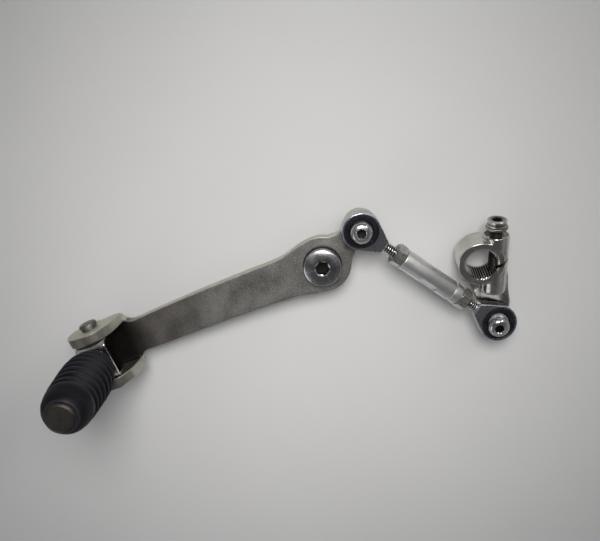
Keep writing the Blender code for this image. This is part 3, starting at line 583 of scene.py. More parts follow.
def forged(name, matrix):
    """A hand-polished forging: soft ripples, fine scratches, a few yellowed spots and painted shade
    in the valleys between the spline's teeth."""
    s = Shading(name, matrix)
    ripple = s.noise(150, 3.0, 0.5)
    scratch = s.noise(900, 4.0, 0.6, stretch=(6.0, 0.35, 6.0))
    crossed = s.noise(900, 4.0, 0.6, stretch=(0.5, 5.0, 5.0), shift=5.0)
    fine = s.noise(5200, 3.0, 0.6)
    tone = s.ranged(s.total((ripple, 0.6), (fine, 0.4)), 0.34, 0.68)
    color = s.mix(tone, (0.42, 0.405, 0.375), (0.64, 0.62, 0.585))
    spots = s.ranged(s.noise(190, 3.0, 0.5, shift=6.4), 0.62, 0.72, 0.0, 0.6)
    color = s.mix(spots, color, (0.46, 0.33, 0.13))
    color = s.mix(s.math("MULTIPLY", s.edges(), 0.4), color, (0.85, 0.84, 0.80))
    # Painted shade in the valleys between the spline's teeth, deeper than the bore's mouth
    parts = s.parts()
    from_bore = (parts[0], s.math("SUBTRACT", parts[1], ARM_LENGTH))
    across = s.math("SQRT", s.math("ADD", *[s.math("POWER", value, 2.0) for value in from_bore]))
    beyond_tips = s.ranged(across, 7.6 * MM, 8.0 * MM)
    valley = s.math("MULTIPLY", beyond_tips, s.ranged(across, 8.4 * MM, 8.6 * MM, 1.0, 0.0))
    valley = s.math("MULTIPLY", valley, s.ranged(parts[2], -1.7 * MM, -1.3 * MM, 0.92, 0.0))
    color = s.mix(valley, color, (0.030, 0.027, 0.022))
    roughness = s.ranged(s.total((scratch, 0.5), (crossed, 0.5)), 0.34, 0.68, 0.15, 0.25)
    normal = s.bump(ripple, 0.0003, 0.35)
    normal = s.bump(scratch, 0.000014, 0.5, normal)
    normal = s.bump(crossed, 0.000014, 0.4, normal)
    return s.finish(color, roughness, normal)


def brushed(name, matrix, dark, light, tint, smooth=0.24, rough=0.42, marks=1.0):
    """Satin metal with marks that run round the local X axis and faint handling stains."""
    s = Shading(name, matrix)
    lines = s.noise(1700, 3.0, 0.6, stretch=(5.0, 0.2, 0.2))
    cloud = s.noise(95, 3.0, 0.5)
    fine = s.noise(7000, 3.0, 0.6)
    color = s.mix(s.ranged(s.total((lines, 0.4), (cloud, 0.6)), 0.30, 0.74), dark, light)
    color = s.mix(s.ranged(s.noise(160, 3.0, shift=3.1), 0.58, 0.80, 0.0, 0.3), color, tint)
    color = s.mix(s.math("MULTIPLY", s.edges(0.52, 0.57), 0.6), color, (0.86, 0.86, 0.86))
    roughness = s.ranged(s.total((lines, 0.5), (fine, 0.5)), 0.34, 0.68, smooth, rough)
    normal = s.bump(lines, 0.000010 * marks, 0.5)
    normal = s.bump(fine, 0.000006 * marks, 0.35, normal)
    return s.finish(color, roughness, normal)


def rubbery(name, matrix, dust=0.02):
    """Moulded rubber: fine grain, dull bloom, a little dust in its low places and painted highlights
    on its crests and rims.
    """
    s = Shading(name, matrix)
    grain = s.noise(3600, 4.0, 0.6)
    cloud = s.noise(130, 4.0, 0.55)
    tone = s.ranged(s.total((grain, 0.4), (cloud, 0.6)), 0.36, 0.70)
    color = s.mix(tone, (0.0022, 0.0022, 0.0034), (0.0056, 0.0056, 0.0085))
    dusty = s.ranged(s.noise(900, 5.0, 0.7, shift=2.0), 0.60, 0.80, 0.0, dust)
    color = s.mix(dusty, color, (0.20, 0.19, 0.18))
    # Painted highlight on the crests of rings and rims
    color = s.mix(s.math("MULTIPLY", s.edges(0.505, 0.54), 0.8), color, (0.026, 0.026, 0.033))
    roughness = s.ranged(cloud, 0.3, 0.7, 0.40, 0.60)
    normal = s.bump(grain, 0.00005, 0.45)
    normal = s.bump(cloud, 0.00015, 0.2, normal)
    made = s.finish(color, roughness, normal, metallic=0.0)
    s.shader.inputs["Specular IOR Level"].default_value = 0.13
    return made


# Pivot


def hex_socket(width, floor, mouth, rim, count):
    """Loops from a hexagon socket's floor up to the chamfer round its mouth."""
    return [
        hexagon_loop(width * 0.35, floor - 0.25 * MM, count),
        hexagon_loop(width * 0.98, floor, count),
        hexagon_loop(width, floor + 0.15 * MM, count),
        hexagon_loop(width, mouth - 0.5 * MM, count),
        round_loop(rim - 0.12 * MM, mouth - 0.10 * MM, count),
        round_loop(rim, mouth, count),
    ]


def build_pivot():
    seal_low = PLATE_FRONT + FACE_GAP
    washer_low = seal_low + 2.1 * MM
    head_low = washer_low + 1.8 * MM
    head_high = head_low + 3.0 * MM
    polished = machined(
        "pivot_head_steel", PIVOT, (0.27, 0.275, 0.29), (0.50, 0.505, 0.52), 0.16, 0.30, 2300,
        stain=0.5, socket=(3.7 * MM, head_high),
    )
    count = 120
    head = [(4.6, 3.0), (8.35, 2.98), (9.0, 2.65), (9.2, 2.2), (9.2, 0.25), (9.05, 0.0)]
    loops = hex_socket(6.2 * MM, head_high - 3.6 * MM, head_high, 4.0 * MM, count)
    loops += rounds(head, head_low, count)
    loops.append(round_loop(SHOULDER_RADIUS, head_low, count))
    loops += rounds([(6.0, 0.15), (5.85, 0.0), (3.5, 0.0)], SHOULDER_END, count)
    loops += thread_loops(PIVOT_THREAD_RADIUS, 8.3 * MM, 0.9 * MM, count, 1.25 * MM, 0.6 * MM)
    loops += rounds([(3.9, 0.75), (3.2, 0.0)], 0.0, count)
    show(loft(loops), PIVOT, "pivot", ["pivot_bolt"], polished)
    light = machined("pivot_washer_steel", PIVOT, (0.30, 0.30, 0.31), (0.54, 0.54, 0.54), 0.2, 0.36)
    washer = ring(WASHER_RADIUS, PIVOT_BORE, washer_low, washer_low + 1.6 * MM, 0.3 * MM, count)
    show(washer, PIVOT, "pivot", ["pivot_washer_front"], light)
    spacer = ring(WASHER_RADIUS, PIVOT_BORE, SHOULDER_END, 10.7 * MM, 0.3 * MM, count)
    show(spacer, PIVOT, "pivot", ["pivot_spacer"], light)
    rubber = rubbery("pivot_seal_rubber", PIVOT)
    for name, low in (("pivot_seal_front", seal_low), ("pivot_seal_back", 10.9 * MM)):
        corners = [(7.4, 0), (9.6, 0), (9.6, 0.7), (9.35, 0.95), (9.6, 1.2), (9.6, 1.9), (7.4, 1.9)]
        lip = soften([(r * MM, low + h * MM) for r, h in corners], 0.5 * MM, 4, closed=True)
        show(turned(lip, count, closed=True), PIVOT, "pivot", [name], rubber)


# Lever


def lever_outline():
    """The flat part of the lever, counter-clockwise from the lug for the rod end."""
    lug = (LINK_START.x, LINK_START.y)
    points = arc(lug, LUG_RADIUS, -112, 150, 60)
    points += curve_through(in_mm([(14.6, 12.8), (11.8, 11.9), (9.4, 12.1)]), 6)
    points += arc((0, 0), BOSS_RADIUS, 58, 96, 16)
    top = [(-6.5, 13.6), (-12.5, 12.0), (-19, 10.6), (-35, 10.6), (-63, 10.3), (-90, 9.4), (-97.5, 9.0)]
    top += [(-101.0, 9.0), (-103.3, 9.9), (-104.9, 11.7), (-106.0, 13.4)]
    points += curve_through(in_mm(top))
    points += [(PLATE_END, 13.4 * MM), (PLATE_END, -13.4 * MM)]
    bottom = [(-106.0, -13.4), (-105.0, -11.4), (-103.6, -9.4), (-101.3, -8.4), (-97, -8.6)]
    bottom += [(-90, -8.7), (-57, -9.0), (-32, -9.8), (-18, -10.7), (-11.5, -12.1), (-6, -13.3)]
    points += curve_through(in_mm(bottom))
    points += arc((0, 0), BOSS_RADIUS, -98, -24, 30)
    points += in_mm([(15.0, -2.6), (18.0, 0.5)])
    return points


def fork_section():
    outer = FORK_HALF_WIDTH - BEND_RADIUS
    inner = FORK_HALF_WIDTH - EAR_THICKNESS
    low = PLATE_BACK + BEND_RADIUS
    top = PIN_Z + EAR_RADIUS + 1 * MM
    fillet = 1.5 * MM
    points = [(-FORK_HALF_WIDTH, top)]
    points += arc((-outer, low), BEND_RADIUS, 180, 270, 16)
    points += arc((outer, low), BEND_RADIUS, 270, 360, 16)
    points += [(FORK_HALF_WIDTH, top), (inner, top)]
    points += arc((inner - fillet, PLATE_FRONT + fillet), fillet, 0, -90, 8)
    points += arc((fillet - inner, PLATE_FRONT + fillet), fillet, 270, 180, 8)
    points += [(-inner, top)]
    return points


def fork_side():
    below = PLATE_BACK - 1 * MM
    points = curve_through(in_mm([(-105.3, 18.5), (-106.2, 25.0), (-107.7, 30.0), (-109.2, 32.4)]), 5)
    points += arc((PIN_X, PIN_Z), EAR_RADIUS, 38, 255, 80)
    points += [(FORK_WEB_END, below), (FORK_START, below)]
    return points


def build_lever():
    flat = rounded_prism(lever_outline(), PLATE_BACK, PLATE_FRONT, along_z, 0.7 * MM)
    plate = new_object("plate", flat)
    fork = new_object("fork", prism(fork_section(), PIN_X - 14 * MM, FORK_START, along_x))
    combine(fork, "INTERSECT", prism(fork_side(), -16 * MM, 16 * MM, along_y))
    inner = FORK_HALF_WIDTH - EAR_THICKNESS
    between = box((PIN_X - 15 * MM, -inner, 10 * MM), (FORK_WEB_END + 0.01 * MM, inner, 45 * MM))
    combine(fork, "DIFFERENCE", between)
    joining = bmesh.new()
    joining.from_mesh(fork.data)
    bpy.data.objects.remove(fork)
    combine(plate, "UNION", joining)
    melt(plate, 0.28 * MM, 9)
    cuts = [drill(PLATE_BORE, 5 * MM, 25 * MM), drill(BALL_BORE, 5 * MM, 25 * MM, LINK_BOLT)]
    combine(plate, "DIFFERENCE", *cuts, drill(PIN_BORE, -20 * MM, 20 * MM, PIN))
    steel = blasted("lever_steel", PIVOT, (0.115, 0.112, 0.104), (0.36, 0.35, 0.325), (0.66, 0.65, 0.55))
    show(plate, PIVOT, "lever", ["lever_plate"], steel, 40)
    bronze = machined(
        "bush_bronze", PIVOT, (0.42, 0.27, 0.11), (0.66, 0.47, 0.24), 0.26, 0.42, edge=(0.8, 0.62, 0.36)
    )
    bush = ring(BUSH_RADIUS, PIVOT_BORE, PLATE_BACK, PLATE_FRONT, 0.2 * MM)
    show(bush, PIVOT, "lever", ["pivot_bush"], bronze)
    build_hinge_pin()
    build_link_bolt()


def build_hinge_pin():
    tones = (0.12, 0.116, 0.112), (0.24, 0.235, 0.225)
    zinc = plated("pin_zinc", PIN, *tones, 0.34, 0.52, (0.17, 0.155, 0.13), worn=0.2)
    head_low = FORK_HALF_WIDTH + FACE_GAP
    groove = -FORK_HALF_WIDTH - 0.5 * MM
    profile = [
        (1.2 * MM, head_low + 2.85 * MM),
        (2.6 * MM, head_low + 3.00 * MM),
        (3.95 * MM, head_low + 2.85 * MM),
        (4.5 * MM, head_low + 2.2 * MM),
        (4.5 * MM, head_low + 0.9 * MM),
        (4.1 * MM, head_low + 0.7 * MM),
        (4.1 * MM, head_low),
        (PIN_RADIUS, head_low),
        (PIN_RADIUS, groove),
        (2.4 * MM, groove),
        (2.4 * MM, groove - 1.2 * MM),
        (PIN_RADIUS, groove - 1.2 * MM),
        (PIN_RADIUS, groove - 2.2 * MM),
        (2.6 * MM, groove - 2.7 * MM),
    ]
    show(turned(soften(profile, 0.25 * MM), 96), PIN, "lever", ["hinge_pin"], zinc)
    disc = ring(5.0 * MM, 2.55 * MM, groove - 1.05 * MM, groove - 0.15 * MM, 0.15 * MM, 96)
    clip = new_object("clip", disc)
    low, high = groove - 2 * MM, groove + 1 * MM
    mouth = box((-1.9 * MM, 0.0, low), (1.9 * MM, 6 * MM, high))
    sides = [Matrix.Translation((x * MM, -0.6 * MM, 0)) for x in (3.3, -3.3)]
    combine(clip, "DIFFERENCE", mouth, *[drill(1.1 * MM, low, high, side, 32) for side in sides])
    show(clip, PIN, "lever", ["pin_clip"], plated("clip_zinc", PIN, *ZINC))


def button_bolt(seat, tip, thread_start, count=72):
    """An M6 button-head bolt along Z, with its socket, rounded head and threaded shank."""
    top = seat + BUTTON_HEIGHT
    loops = hex_socket(4.0 * MM, top - 2.2 * MM, top, BUTTON_SOCKET, count)
    for step in range(1, 10):
        a = math.radians(10 + 80 * step / 9)
        loops += rounds([(2.9 + 2.4 * math.sin(a), 0.75 + 2.55 * math.cos(a))], seat, count)
    loops += rounds([(5.3, 0.2), (5.1, 0.0), (3.0, 0.0)], seat, count)
    loops += thread_loops(BOLT_RADIUS, thread_start, tip + 0.7 * MM, count)
    loops += rounds([(2.9, 0.5), (2.4, 0.0)], tip, count)
    return loft(loops)


def button_steel(name, matrix, ball_top):
    socket = (BUTTON_SOCKET, ball_top + BUTTON_TOP)
    return machined(name, matrix, *POLISHED, 0.14, 0.32, 2600, stain=0.2, socket=socket)


def nut(width, bore, low, high, count=72):
    """A hexagon nut along Z: chamfered corners, rounded edges and a countersunk bore."""
    flat = width / 2 * 0.965
    slope = math.tan(math.radians(30))
    lower, upper = [], []
    for a in angles(count):
        radius = min(hexagon_radius(width, a), width / 2 * 1.135)
        drop = (radius - flat) * slope
        lower.append((radius * math.cos(a), radius * math.sin(a), low + drop))
        upper.append((radius * math.cos(a), radius * math.sin(a), high - drop))
    sink = 0.4 * MM
    loops = [round_loop(bore, low + sink, count), round_loop(bore + sink, low, count)]
    loops += [round_loop(flat, low, count), lower, upper, round_loop(flat, high, count)]
    loops += [round_loop(bore + sink, high, count), round_loop(bore, high - sink, count)]
    return loft(loops, closed=True)


def build_link_bolt():
    ball_top = LINK_START.z + BALL_HALF_WIDTH
    bright = button_steel("link_bolt_1_steel", LINK_BOLT, ball_top)
    zinc = plated("link_bolt_1_zinc", LINK_BOLT, *ZINC)
    nut_high = PLATE_BACK - FACE_GAP
    bolt = button_bolt(ball_top + FACE_GAP, nut_high - 5.2 * MM, PLATE_BACK + 1 * MM)
    show(bolt, LINK_BOLT, "lever", ["rod_end_bolt_1"], bright)
    spacer = ring(SPACER_RADIUS, BALL_BORE, PLATE_FRONT + FACE_GAP, PLATE_FRONT + 1.7 * MM)
    show(spacer, LINK_BOLT, "lever", ["spacer_1"], zinc)
    lock_nut = nut(NUT_WIDTH, BALL_BORE, nut_high - LOCK_NUT_THICKNESS, nut_high)
    show(lock_nut, LINK_BOLT, "lever", ["lock_nut_1"], zinc)


# Folding peg


def bracket_section():
    half = FORK_HALF_WIDTH - EAR_THICKNESS - 0.4 * MM
    wall = BRACKET_THICKNESS
    bend = 3.2 * MM
    low = -7.5 * MM
    points = [(half, low)]
    points += arc((half - bend, BRACKET_TOP - bend), bend, 0, 90, 10)
    points += arc((bend - half, BRACKET_TOP - bend), bend, 90, 180, 10)
    points += [(-half, low), (wall - half, low)]
    points += arc((bend - half, BRACKET_TOP - bend), bend - wall, 180, 90, 10)
    points += arc((half - bend, BRACKET_TOP - bend), bend - wall, 90, 0, 10)
    points += [(half - wall, low)]
    return points


def bracket_side():
    points = arc((0, 0), 6.8 * MM, 180, 360, 48)
    points += soften(in_mm([(6.8, 0.1), (7.9, 5.5), (7.7, 13.0)]), 1.5 * MM)
    points += soften(in_mm([(-7.7, 13.0), (-7.9, 5.5), (-6.8, 0.1)]), 1.5 * MM)
    return points


def build_bracket():
    bracket = new_object("bracket", prism(bracket_section(), -9 * MM, 9 * MM, along_x))
    combine(bracket, "INTERSECT", prism(bracket_side(), -16 * MM, 16 * MM, along_y))
    rivet_hole = drill(3.95 * MM, 8 * MM, 14 * MM)
    pin_hole = drill(PIN_BORE, -20 * MM, 20 * MM, rotated(-90, "X"))
    combine(bracket, "DIFFERENCE", pin_hole, rivet_hole)
    bevel = bracket.modifiers.new("edges", "BEVEL")
    bevel.width = 0.18 * MM
    bevel.segments = 2
    bevel.limit_method = "ANGLE"
    bevel.angle_limit = math.radians(50)
    bake(bracket)
    tones = (0.42, 0.41, 0.38), (0.66, 0.65, 0.61)
    steel = plated("bracket_steel", PEG, *tones, 0.10, 0.24, (0.50, 0.48, 0.40))
    show(bracket, PEG, "peg", ["peg_bracket"], steel, 40)


def rubber_loops(count=120):
    """The sleeve's rounded rings and smooth collar, as loops from the base up and back down its bore."""
    crests = (9.3, 11.0, 12.1, 12.5, 12.5, 12.35, 12.15, 11.95)
    pitch = 5.0 * MM
    groove = 2.0 * MM
    first = PEG_BASE + 0.8 * MM
    profile = [(7.4 * MM, PEG_BASE), (crests[0] * MM - groove, PEG_BASE + 0.3 * MM)]
    for index, crest in enumerate(crests):
        following = crests[min(index + 1, len(crests) - 1)]
        for step in range(16):
            share = step / 16
            radius = (crest + (following - crest) * max(0.0, share - 0.5)) * MM
            swell = min(1.0, 1.03 * math.sin(math.pi * share) ** 1.9)
            profile.append((radius - groove * (1 - swell), first + (index + share) * pitch))
    start = first + len(crests) * pitch
    profile.append((10.5 * MM, start))
    shoulder = [(10.6, 0.15), (11.2, 0.45), (11.5, 1.1), (11.55, 2.2), (11.4, 3.6), (11.1, 4.9)]
    profile += [(r * MM, start + h * MM) for r, h in shoulder]
    tip = [(10.75, -4.9), (10.3, -3.6), (9.7, -2.5), (9.0, -1.5), (8.3, -0.7)]
    tip += [(7.6, -0.15), (7.35, 0.0), (7.2, -0.3), (6.2, -0.3)]
    profile += [(r * MM, PEG_END + h * MM) for r, h in tip]
    profile.append((PEG_BORE, PEG_BASE))
    return [round_loop(radius, height, count) for radius, height in profile]


def build_peg():
    build_bracket()
    sleeve = loft(rubber_loops(), closed=True)
    show(sleeve, PEG, "peg", ["peg_rubber"], rubbery("peg_rubber_black", PEG), 60)
    web_low = BRACKET_TOP - BRACKET_THICKNESS
    cap_low = PEG_END + FACE_GAP
    tones = (0.040, 0.036, 0.033), (0.070, 0.063, 0.058)
    core = machined("peg_core_brown", PEG, *tones, 0.42, 0.60, 900, edge=(0.20, 0.18, 0.165))
    shaft = [
        (2.0 * MM, web_low - 1.2 * MM),
        (4.5 * MM, web_low - 1.2 * MM),
        (5.0 * MM, web_low - 0.8 * MM),
        (5.0 * MM, web_low - FACE_GAP),
        (3.8 * MM, web_low - FACE_GAP),
        (3.8 * MM, BRACKET_TOP + FACE_GAP),
        (PEG_CORE_RADIUS, BRACKET_TOP + FACE_GAP),
        (PEG_CORE_RADIUS, cap_low - FACE_GAP),
        (2.5 * MM, cap_low - FACE_GAP),
        (2.5 * MM, cap_low + 0.7 * MM),
    ]
    show(turned(soften(shaft, 0.15 * MM)), PEG, "peg", ["peg_shaft"], core)
    corners = [(2.7, 1.0), (2.7, 0.0), (7.35, 0.0), (7.35, 0.75), (7.05, 1.45)]
    corners += [(6.25, 2.1), (5.95, 2.2), (5.75, 2.05), (1.0, 2.08)]
    cap = turned(soften([(r * MM, cap_low + h * MM) for r, h in corners], 0.2 * MM, 4), 96)
    show(cap, PEG, "peg", ["peg_end_cap"], core)
    # Painted shade: the spring is coloured near black, as shade inside the fork
    tones = (0.006, 0.006, 0.005), (0.014, 0.013, 0.012)
    steel = plated("spring_painted_shade", PEG, *tones, 0.62, 0.80, (0.02, 0.018, 0.012), worn=0.0)
    show(spring(), PEG, "peg", ["peg_spring"], steel, 60)


def spring():
    """The torsion spring's coil about the hinge pin."""
    turns, radius, wire, sides = 4.5, 4.6 * MM, 0.7 * MM, 14
    pitch = 1.75 * MM
    steps = int(turns * 40)
    loops = []
    for i in range(steps + 1):
        angle = 2 * math.pi * turns * i / steps
        along = Vector((math.cos(angle), 0, math.sin(angle)))
        center = along * radius + Vector((0, pitch * turns * (i / steps - 0.5), 0))
        thick = wire * (0.8 if i in (0, steps) else 1.0)
        outward, sideways = along * thick, Vector((0, thick, 0))
        loops.append([center + outward * math.cos(b) + sideways * math.sin(b) for b in angles(sides)])
    return loft(loops)


# Rod ends


def housing_outline():
    """A rod end's teardrop: round about the ball, with straight sides that run into the neck."""
    points = arc((0, 0), HOUSING_RADIUS, 59, 301, 96)
    points += curve_through(in_mm([(8.0, -6.4), (11.0, -4.7), (12.6, -3.75), (13.6, -3.2)]), 6)
    points += in_mm([(13.9, -3.0), (13.9, 3.0)])
    points += curve_through(in_mm([(13.6, 3.2), (12.6, 3.75), (11.0, 4.7), (8.0, 6.4)]), 6)
    return points


def build_rod_end(number, matrix, body):
    half = HOUSING_HALF_WIDTH
    housing = new_object("housing", rounded_prism(housing_outline(), -half, half, along_z, 0.45 * MM))
    neck = []
    for x, r in ((8.5, 3.2), (11.0, 3.3), (13.0, 3.2), (13.9, 3.05), (14.25, 2.85), (14.3, 2.6)):
        neck.append([(x * MM, r * MM * math.cos(a), r * MM * math.sin(a)) for a in angles(48)])
    combine(housing, "UNION", loft(neck))
    melt(housing, 0.15 * MM, 3)
    corners = [(9.0 * MM, -4.1 * MM), (HOUSING_BORE, -2.9 * MM)]
    corners += [(HOUSING_BORE, 2.9 * MM), (9.0 * MM, 4.1 * MM)]
    combine(housing, "DIFFERENCE", turned(soften(corners, 0.1 * MM), 120))
    bluish = brushed(f"rod_end_{number}_steel", matrix, *BLUISH, (0.32, 0.31, 0.30), 0.20, 0.32)
    show(housing, matrix, body, [f"rod_end_{number}"], bluish, 40)
    end = JAM_NUT_START + JAM_NUT_THICKNESS + THREAD_ENGAGEMENT
    start = NECK_END - 0.4 * MM
    loops = [round_loop(2.1 * MM, NECK_END - 1.5 * MM, 48)]
    loops += thread_loops(ROD_THREAD_RADIUS, start, end - 0.4 * MM, 48, 1.2 * MM, 0.55 * MM)
    loops += [round_loop(2.0 * MM, end, 48)]
    shank = moved(loft(loops), rotated(90, "Y"))
    stud = new_object(f"rod_end_{number}_thread", shank)
    stud.data.transform(matrix)
    stud.data.shade_smooth()
    stud.data.set_sharp_from_angle(angle=math.radians(50))
    tones = (0.36, 0.355, 0.34), (0.58, 0.57, 0.55)
    # Radii of the painted shade in the thread's grooves
    root_shade_radii = (2.10 * MM, 2.45 * MM)
    stud.data.materials.append(
        plated(f"rod_end_{number}_thread_steel", matrix, *tones, 0.2, 0.4, root_shade_radii=root_shade_radii)
    )
    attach(stud, body)
    inner = BALL_RADIUS + 0.12 * MM
    half = math.degrees(math.asin(RACE_HALF_WIDTH / inner))
    outer = HOUSING_BORE - 0.1 * MM
    race = arc((0, 0), inner, half, -half, 16)
    race += [(outer, -RACE_HALF_WIDTH), (outer, RACE_HALF_WIDTH)]
    steel = machined(f"race_{number}_steel", matrix, *POLISHED)
    show(turned(race, 96, closed=True), matrix, body, [f"race_{number}"], steel)
    rubber = rubbery(f"seal_{number}_rubber", matrix, dust=0.05)
    for side, low in (("front", 2.6), ("back", -3.25)):
        seal = ring(outer, SEAL_INNER_RADIUS, low * MM, (low + 0.65) * MM, 0.22 * MM)
        show(seal, matrix, body, [f"seal_{number}_{side}"], rubber)


def ball():
    """A ball with flat faces and a bore for its bolt."""
    half = math.degrees(math.asin(BALL_HALF_WIDTH / BALL_RADIUS))
    profile = arc((0, 0), BALL_RADIUS, -half, half, 32)
    face, bore, side = 4.48 * MM, BALL_BORE, BALL_HALF_WIDTH
    profile += soften([(face, side), (bore, side), (bore, -side), (face, -side)], 0.2 * MM)[1:-1]
    return turned(profile, 96, closed=True)


def build_link():
    build_rod_end(1, FIRST_END, "link_end_1")
    build_rod_end(2, SECOND_END, "link_end_2")
    for name, place in (("ball_1", FIRST_BALL), ("ball_2", ARM)):
        steel = machined(f"{name}_steel", place, *POLISHED)
        show(ball(), place, name, [name], steel)
    start = JAM_NUT_START + JAM_NUT_THICKNESS + FACE_GAP
    end = LINK_LENGTH - start
    tones = (0.15, 0.15, 0.135), (0.32, 0.315, 0.285)
    zinc = plated("jam_nut_zinc", ROD, *tones, 0.22, 0.42, (0.27, 0.25, 0.17))
    for name, low in (("jam_nut_1", JAM_NUT_START), ("jam_nut_2", end + FACE_GAP)):
        jam_nut = nut(NUT_WIDTH, 2.65 * MM, low, low + JAM_NUT_THICKNESS)
        show(jam_nut, ROD, "jam_nuts", [name], zinc)
    groove = end - 5.0 * MM
    profile = [
        (TUBE_BORE, start + 0.4 * MM),
        (3.1 * MM, start),
        (TUBE_RADIUS - 0.45 * MM, start),
        (TUBE_RADIUS, start + 0.45 * MM),
        (TUBE_RADIUS, groove),
        (TUBE_RADIUS - 0.4 * MM, groove + 0.15 * MM),
        (TUBE_RADIUS - 0.4 * MM, groove + 0.75 * MM),
        (TUBE_RADIUS, groove + 0.9 * MM),
        (TUBE_RADIUS, end - 0.45 * MM),
        (TUBE_RADIUS - 0.45 * MM, end),
        (3.1 * MM, end),
        (TUBE_BORE, end - 0.4 * MM),
    ]
    tube = new_object("tube", turned(soften(profile, 0.12 * MM, 3, closed=True), 120, closed=True))
    slabs = []
    for side in (1, -1):
        near, far = sorted((side * FLATS_HALF_WIDTH, side * 7 * MM))
        slab = box((near, -7 * MM, start + FLATS_START), (far, 7 * MM, start + FLATS_END))
        slabs.append(moved(slab, rotated(50, "Z")))
    combine(tube, "DIFFERENCE", *slabs)
    tones = (0.58, 0.58, 0.575), (0.76, 0.76, 0.75), (0.60, 0.57, 0.50)
    aluminium = brushed("turnbuckle_aluminium", FIRST_END, *tones, 0.32, 0.46, 1.5)
    show(tube, ROD, "turnbuckle", ["turnbuckle"], aluminium, 30)


# Shift arm


def spline_outline():
    """The bore's teeth, each from its valley at 8.3 mm to its tip at 7.4 mm."""
    valley = [(0.02, 8.2), (0.12, 8.3), (0.28, 8.3), (0.38, 8.15)]
    tip = [(0.52, 7.5), (0.58, 7.4), (0.82, 7.4), (0.88, 7.5)]
    points = []
    for tooth in range(SPLINE_TEETH):
        for share, radius in valley + tip:
            a = 2 * math.pi * (tooth + share) / SPLINE_TEETH
            points.append((radius * MM * math.cos(a), ARM_LENGTH + radius * MM * math.sin(a)))
    return points


def arm_outline():
    points = arc((0, 0), 7.8 * MM, 180, 365, 60)
    right = in_mm([(9.2, 5.5), (10.2, 14.0), (11.6, 22.0), (11.0, 30.0)])
    left = in_mm([(-7.0, 30.0), (-7.9, 22.0), (-7.2, 12.0), (-7.3, 5.0)])
    points += curve_through(right) + [right[-1]] + curve_through(left) + [left[-1]]
    return points


def build_arm():
    local_clamp = ARM.inverted() @ CLAMP
    at_bore = Matrix.Translation((0, ARM_LENGTH, 0))
    arm = new_object("arm", rounded_prism(arm_outline(), ARM_BACK, ARM_FRONT, along_z, 0.7 * MM))
    clamp = ring(CLAMP_RADIUS, 4.0 * MM, CLAMP_BACK, CLAMP_FRONT, 0.6 * MM, 120)
    boss = soften(in_mm([(1.0, -17.5), (6.5, -17.5), (6.5, 13.3), (5.2, 13.3)]), 1.4 * MM, 6)
    combine(arm, "UNION", moved(clamp, at_bore), moved(turned(boss, 72), local_clamp))
    melt(arm, 0.22 * MM, 12)
    wall = prism(spline_outline(), CLAMP_BACK - 1 * MM, CLAMP_FRONT + 1 * MM, along_z)
    slit = box((-3 * MM, -SLOT_HALF_WIDTH, -20 * MM), (15 * MM, SLOT_HALF_WIDTH, 4 * MM))
    slot = moved(slit, Matrix.Translation(SLOT_START) @ rotated(SLOT_TURN, "Z"))
    leads = []
    for face, outwards in ((CLAMP_FRONT, 1), (CLAMP_BACK, -1)):
        low, high = face + outwards * 0.4 * MM, face - outwards * 0.6 * MM
        lead = turned([(9.0 * MM, low), (7.6 * MM, high), (2.0 * MM, high)], 96)
        leads.append(moved(lead, at_bore))
    spot = CLAMP_BOSS_TOP / MM - 1.8
    hole = in_mm([(3.15, -15.0), (3.15, spot - 0.01), (5.75, spot), (5.75, CLAMP_BOSS_TOP / MM + 2)])
    bolt_hole = moved(turned(hole, 72), local_clamp)
    link_hole = drill(BALL_BORE, -20 * MM, 4 * MM)
    combine(arm, "DIFFERENCE", wall, slot, *leads, bolt_hole, link_hole)
    show(arm, ARM, "arm", ["shift_arm"], forged("arm_steel", ARM), 38)
    zinc = plated("arm_zinc", ARM, *ZINC)
    bright = button_steel("link_bolt_2_steel", ARM, BALL_HALF_WIDTH)
    nut_high = ARM_BACK - FACE_GAP
    bolt = button_bolt(BALL_HALF_WIDTH + FACE_GAP, nut_high - 3.9 * MM, ARM_BACK + 1 * MM)
    show(bolt, ARM, "arm", ["rod_end_bolt_2"], bright)
    spacer = ring(SPACER_RADIUS, BALL_BORE, ARM_FRONT + FACE_GAP, -BALL_HALF_WIDTH - FACE_GAP)
    show(spacer, ARM, "arm", ["spacer_2"], zinc)
    lock_nut = nut(NUT_WIDTH, BALL_BORE, nut_high - LOCK_NUT_THICKNESS, nut_high)
    show(lock_nut, ARM, "arm", ["lock_nut_2"], zinc)


def build_clamp_bolt():
    """The clamp bolt and its washer, half unscrewed."""
    low = CLAMP_BOSS_TOP + 3.1 * MM
    zinc = plated("clamp_zinc", CLAMP, (0.20, 0.18, 0.15), (0.44, 0.41, 0.36))
    washer = ring(5.4 * MM, 3.15 * MM, low, low + 1.2 * MM)
    show(washer, CLAMP, "clamp_washer", ["clamp_washer"], zinc)
    seat = low + 1.4 * MM
    top = seat + 3.4 * MM
    count = 96
    mouth = 3.15 * MM
    loops = hex_socket(4.0 * MM, top - 1.9 * MM, top, mouth, count)
    sides = [(3.9, 3.4), (4.5, 3.3), (4.75, 3.0), (4.75, 2.0), (4.4, 1.75)]
    sides += [(4.4, 1.1), (4.75, 0.85), (4.75, 0.15), (4.6, 0.0), (3.0, 0.0)]
    loops += rounds(sides, seat, count)
    tip = seat - 24.0 * MM
    loops += thread_loops(BOLT_RADIUS, seat - 0.8 * MM, tip + 0.6 * MM, count)
    loops += [round_loop(2.5 * MM, tip, count)]
    dark = machined(
        "clamp_bolt_steel", CLAMP, (0.10, 0.088, 0.078), (0.27, 0.25, 0.225), 0.16, 0.34, 2400,
        stain=0.2, socket=(mouth, top + 0.25 * MM), shank=seat,
    )
    show(loft(loops), CLAMP, "clamp_bolt", ["clamp_bolt"], dark)


# Stage


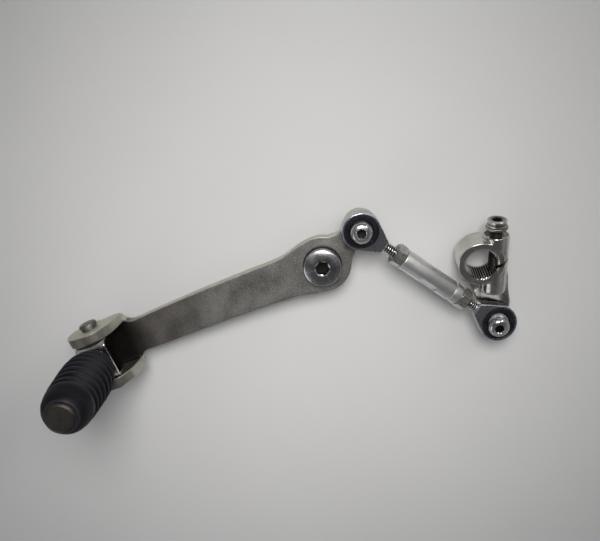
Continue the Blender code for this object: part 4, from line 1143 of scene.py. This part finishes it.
def area_light(name, place, target, size, power, color):
    light = bpy.data.lights.new(name, "AREA")
    light.shape = "RECTANGLE"
    light.size, light.size_y = size
    light.energy = power
    light.color = color
    made = bpy.data.objects.new(name, light)
    bpy.context.scene.collection.objects.link(made)
    made.location = place
    made.rotation_euler = (Vector(target) - Vector(place)).to_track_quat("-Z", "Y").to_euler()
    return made


def build_stage():
    floor = new_object("floor", box((-2.5, -2.5, -0.010), (2.5, 2.5, -0.0002)))
    s = Shading("floor_paint", PIVOT)
    cloud = s.noise(4, 3.0)
    grain = s.noise(900, 3.0, 0.6)
    color = s.mix(s.ranged(cloud, 0.3, 0.7), (0.56, 0.558, 0.553), (0.59, 0.588, 0.583))
    roughness = s.ranged(grain, 0.3, 0.7, 0.5, 0.62)
    floor.data.materials.append(s.finish(color, roughness, s.bump(grain, 0.00002, 0.2), 0.0))
    world = bpy.data.worlds.new("studio")
    bpy.context.scene.world = world
    world.use_nodes = True
    nodes, links = world.node_tree.nodes, world.node_tree.links
    background = nodes["Background"]
    coordinates = nodes.new("ShaderNodeTexCoord")
    parts = nodes.new("ShaderNodeSeparateXYZ")
    ramp = nodes.new("ShaderNodeValToRGB")
    links.new(coordinates.outputs["Generated"], parts.inputs[0])
    links.new(parts.outputs[2], ramp.inputs["Fac"])
    links.new(ramp.outputs["Color"], background.inputs["Color"])
    ramp.color_ramp.elements[0].color = (0.46, 0.46, 0.47, 1)
    ramp.color_ramp.elements[1].color = (0.13, 0.13, 0.14, 1)
    for position, value in ((0.35, 0.58), (0.70, 0.24)):
        ramp.color_ramp.elements.new(position).color = (value, value, value * 1.02, 1)
    background.inputs["Strength"].default_value = 0.53
    warm, cool, mild = (1.0, 0.99, 0.98), (0.95, 0.97, 1.0), (1.0, 0.99, 0.97)
    key = area_light("key", (0.094, 0.22, 0.50), (-0.03, -0.04, 0.0), (0.20, 0.20), 0.37, warm)
    key.data.spread = math.radians(60)
    area_light("fill", (-0.75, -0.25, 0.55), (0, 0, 0), (0.5, 0.5), 0.8, cool)
    area_light("strip", (0.55, 0.25, 0.45), (0.05, -0.03, 0.01), (0.12, 0.6), 0.8, mild)


def build_camera():
    """Looks steeply down on the lever's front, from beyond the pivot."""
    data = bpy.data.cameras.new("camera")
    data.sensor_width = 36.0
    data.lens = 45.6
    data.clip_start = 0.01
    camera = bpy.data.objects.new("camera", data)
    bpy.context.scene.collection.objects.link(camera)
    camera.location = (0.04282, 0.10152, 0.37599)
    camera.rotation_euler = (math.radians(-17.56), math.radians(1.80), math.radians(-22.80))
    bpy.context.scene.camera = camera


build_camera()
build_stage()
build_pivot()
build_lever()
build_peg()
build_link()
build_arm()
build_clamp_bolt()

bpy.context.scene.view_settings.view_transform = "Standard"
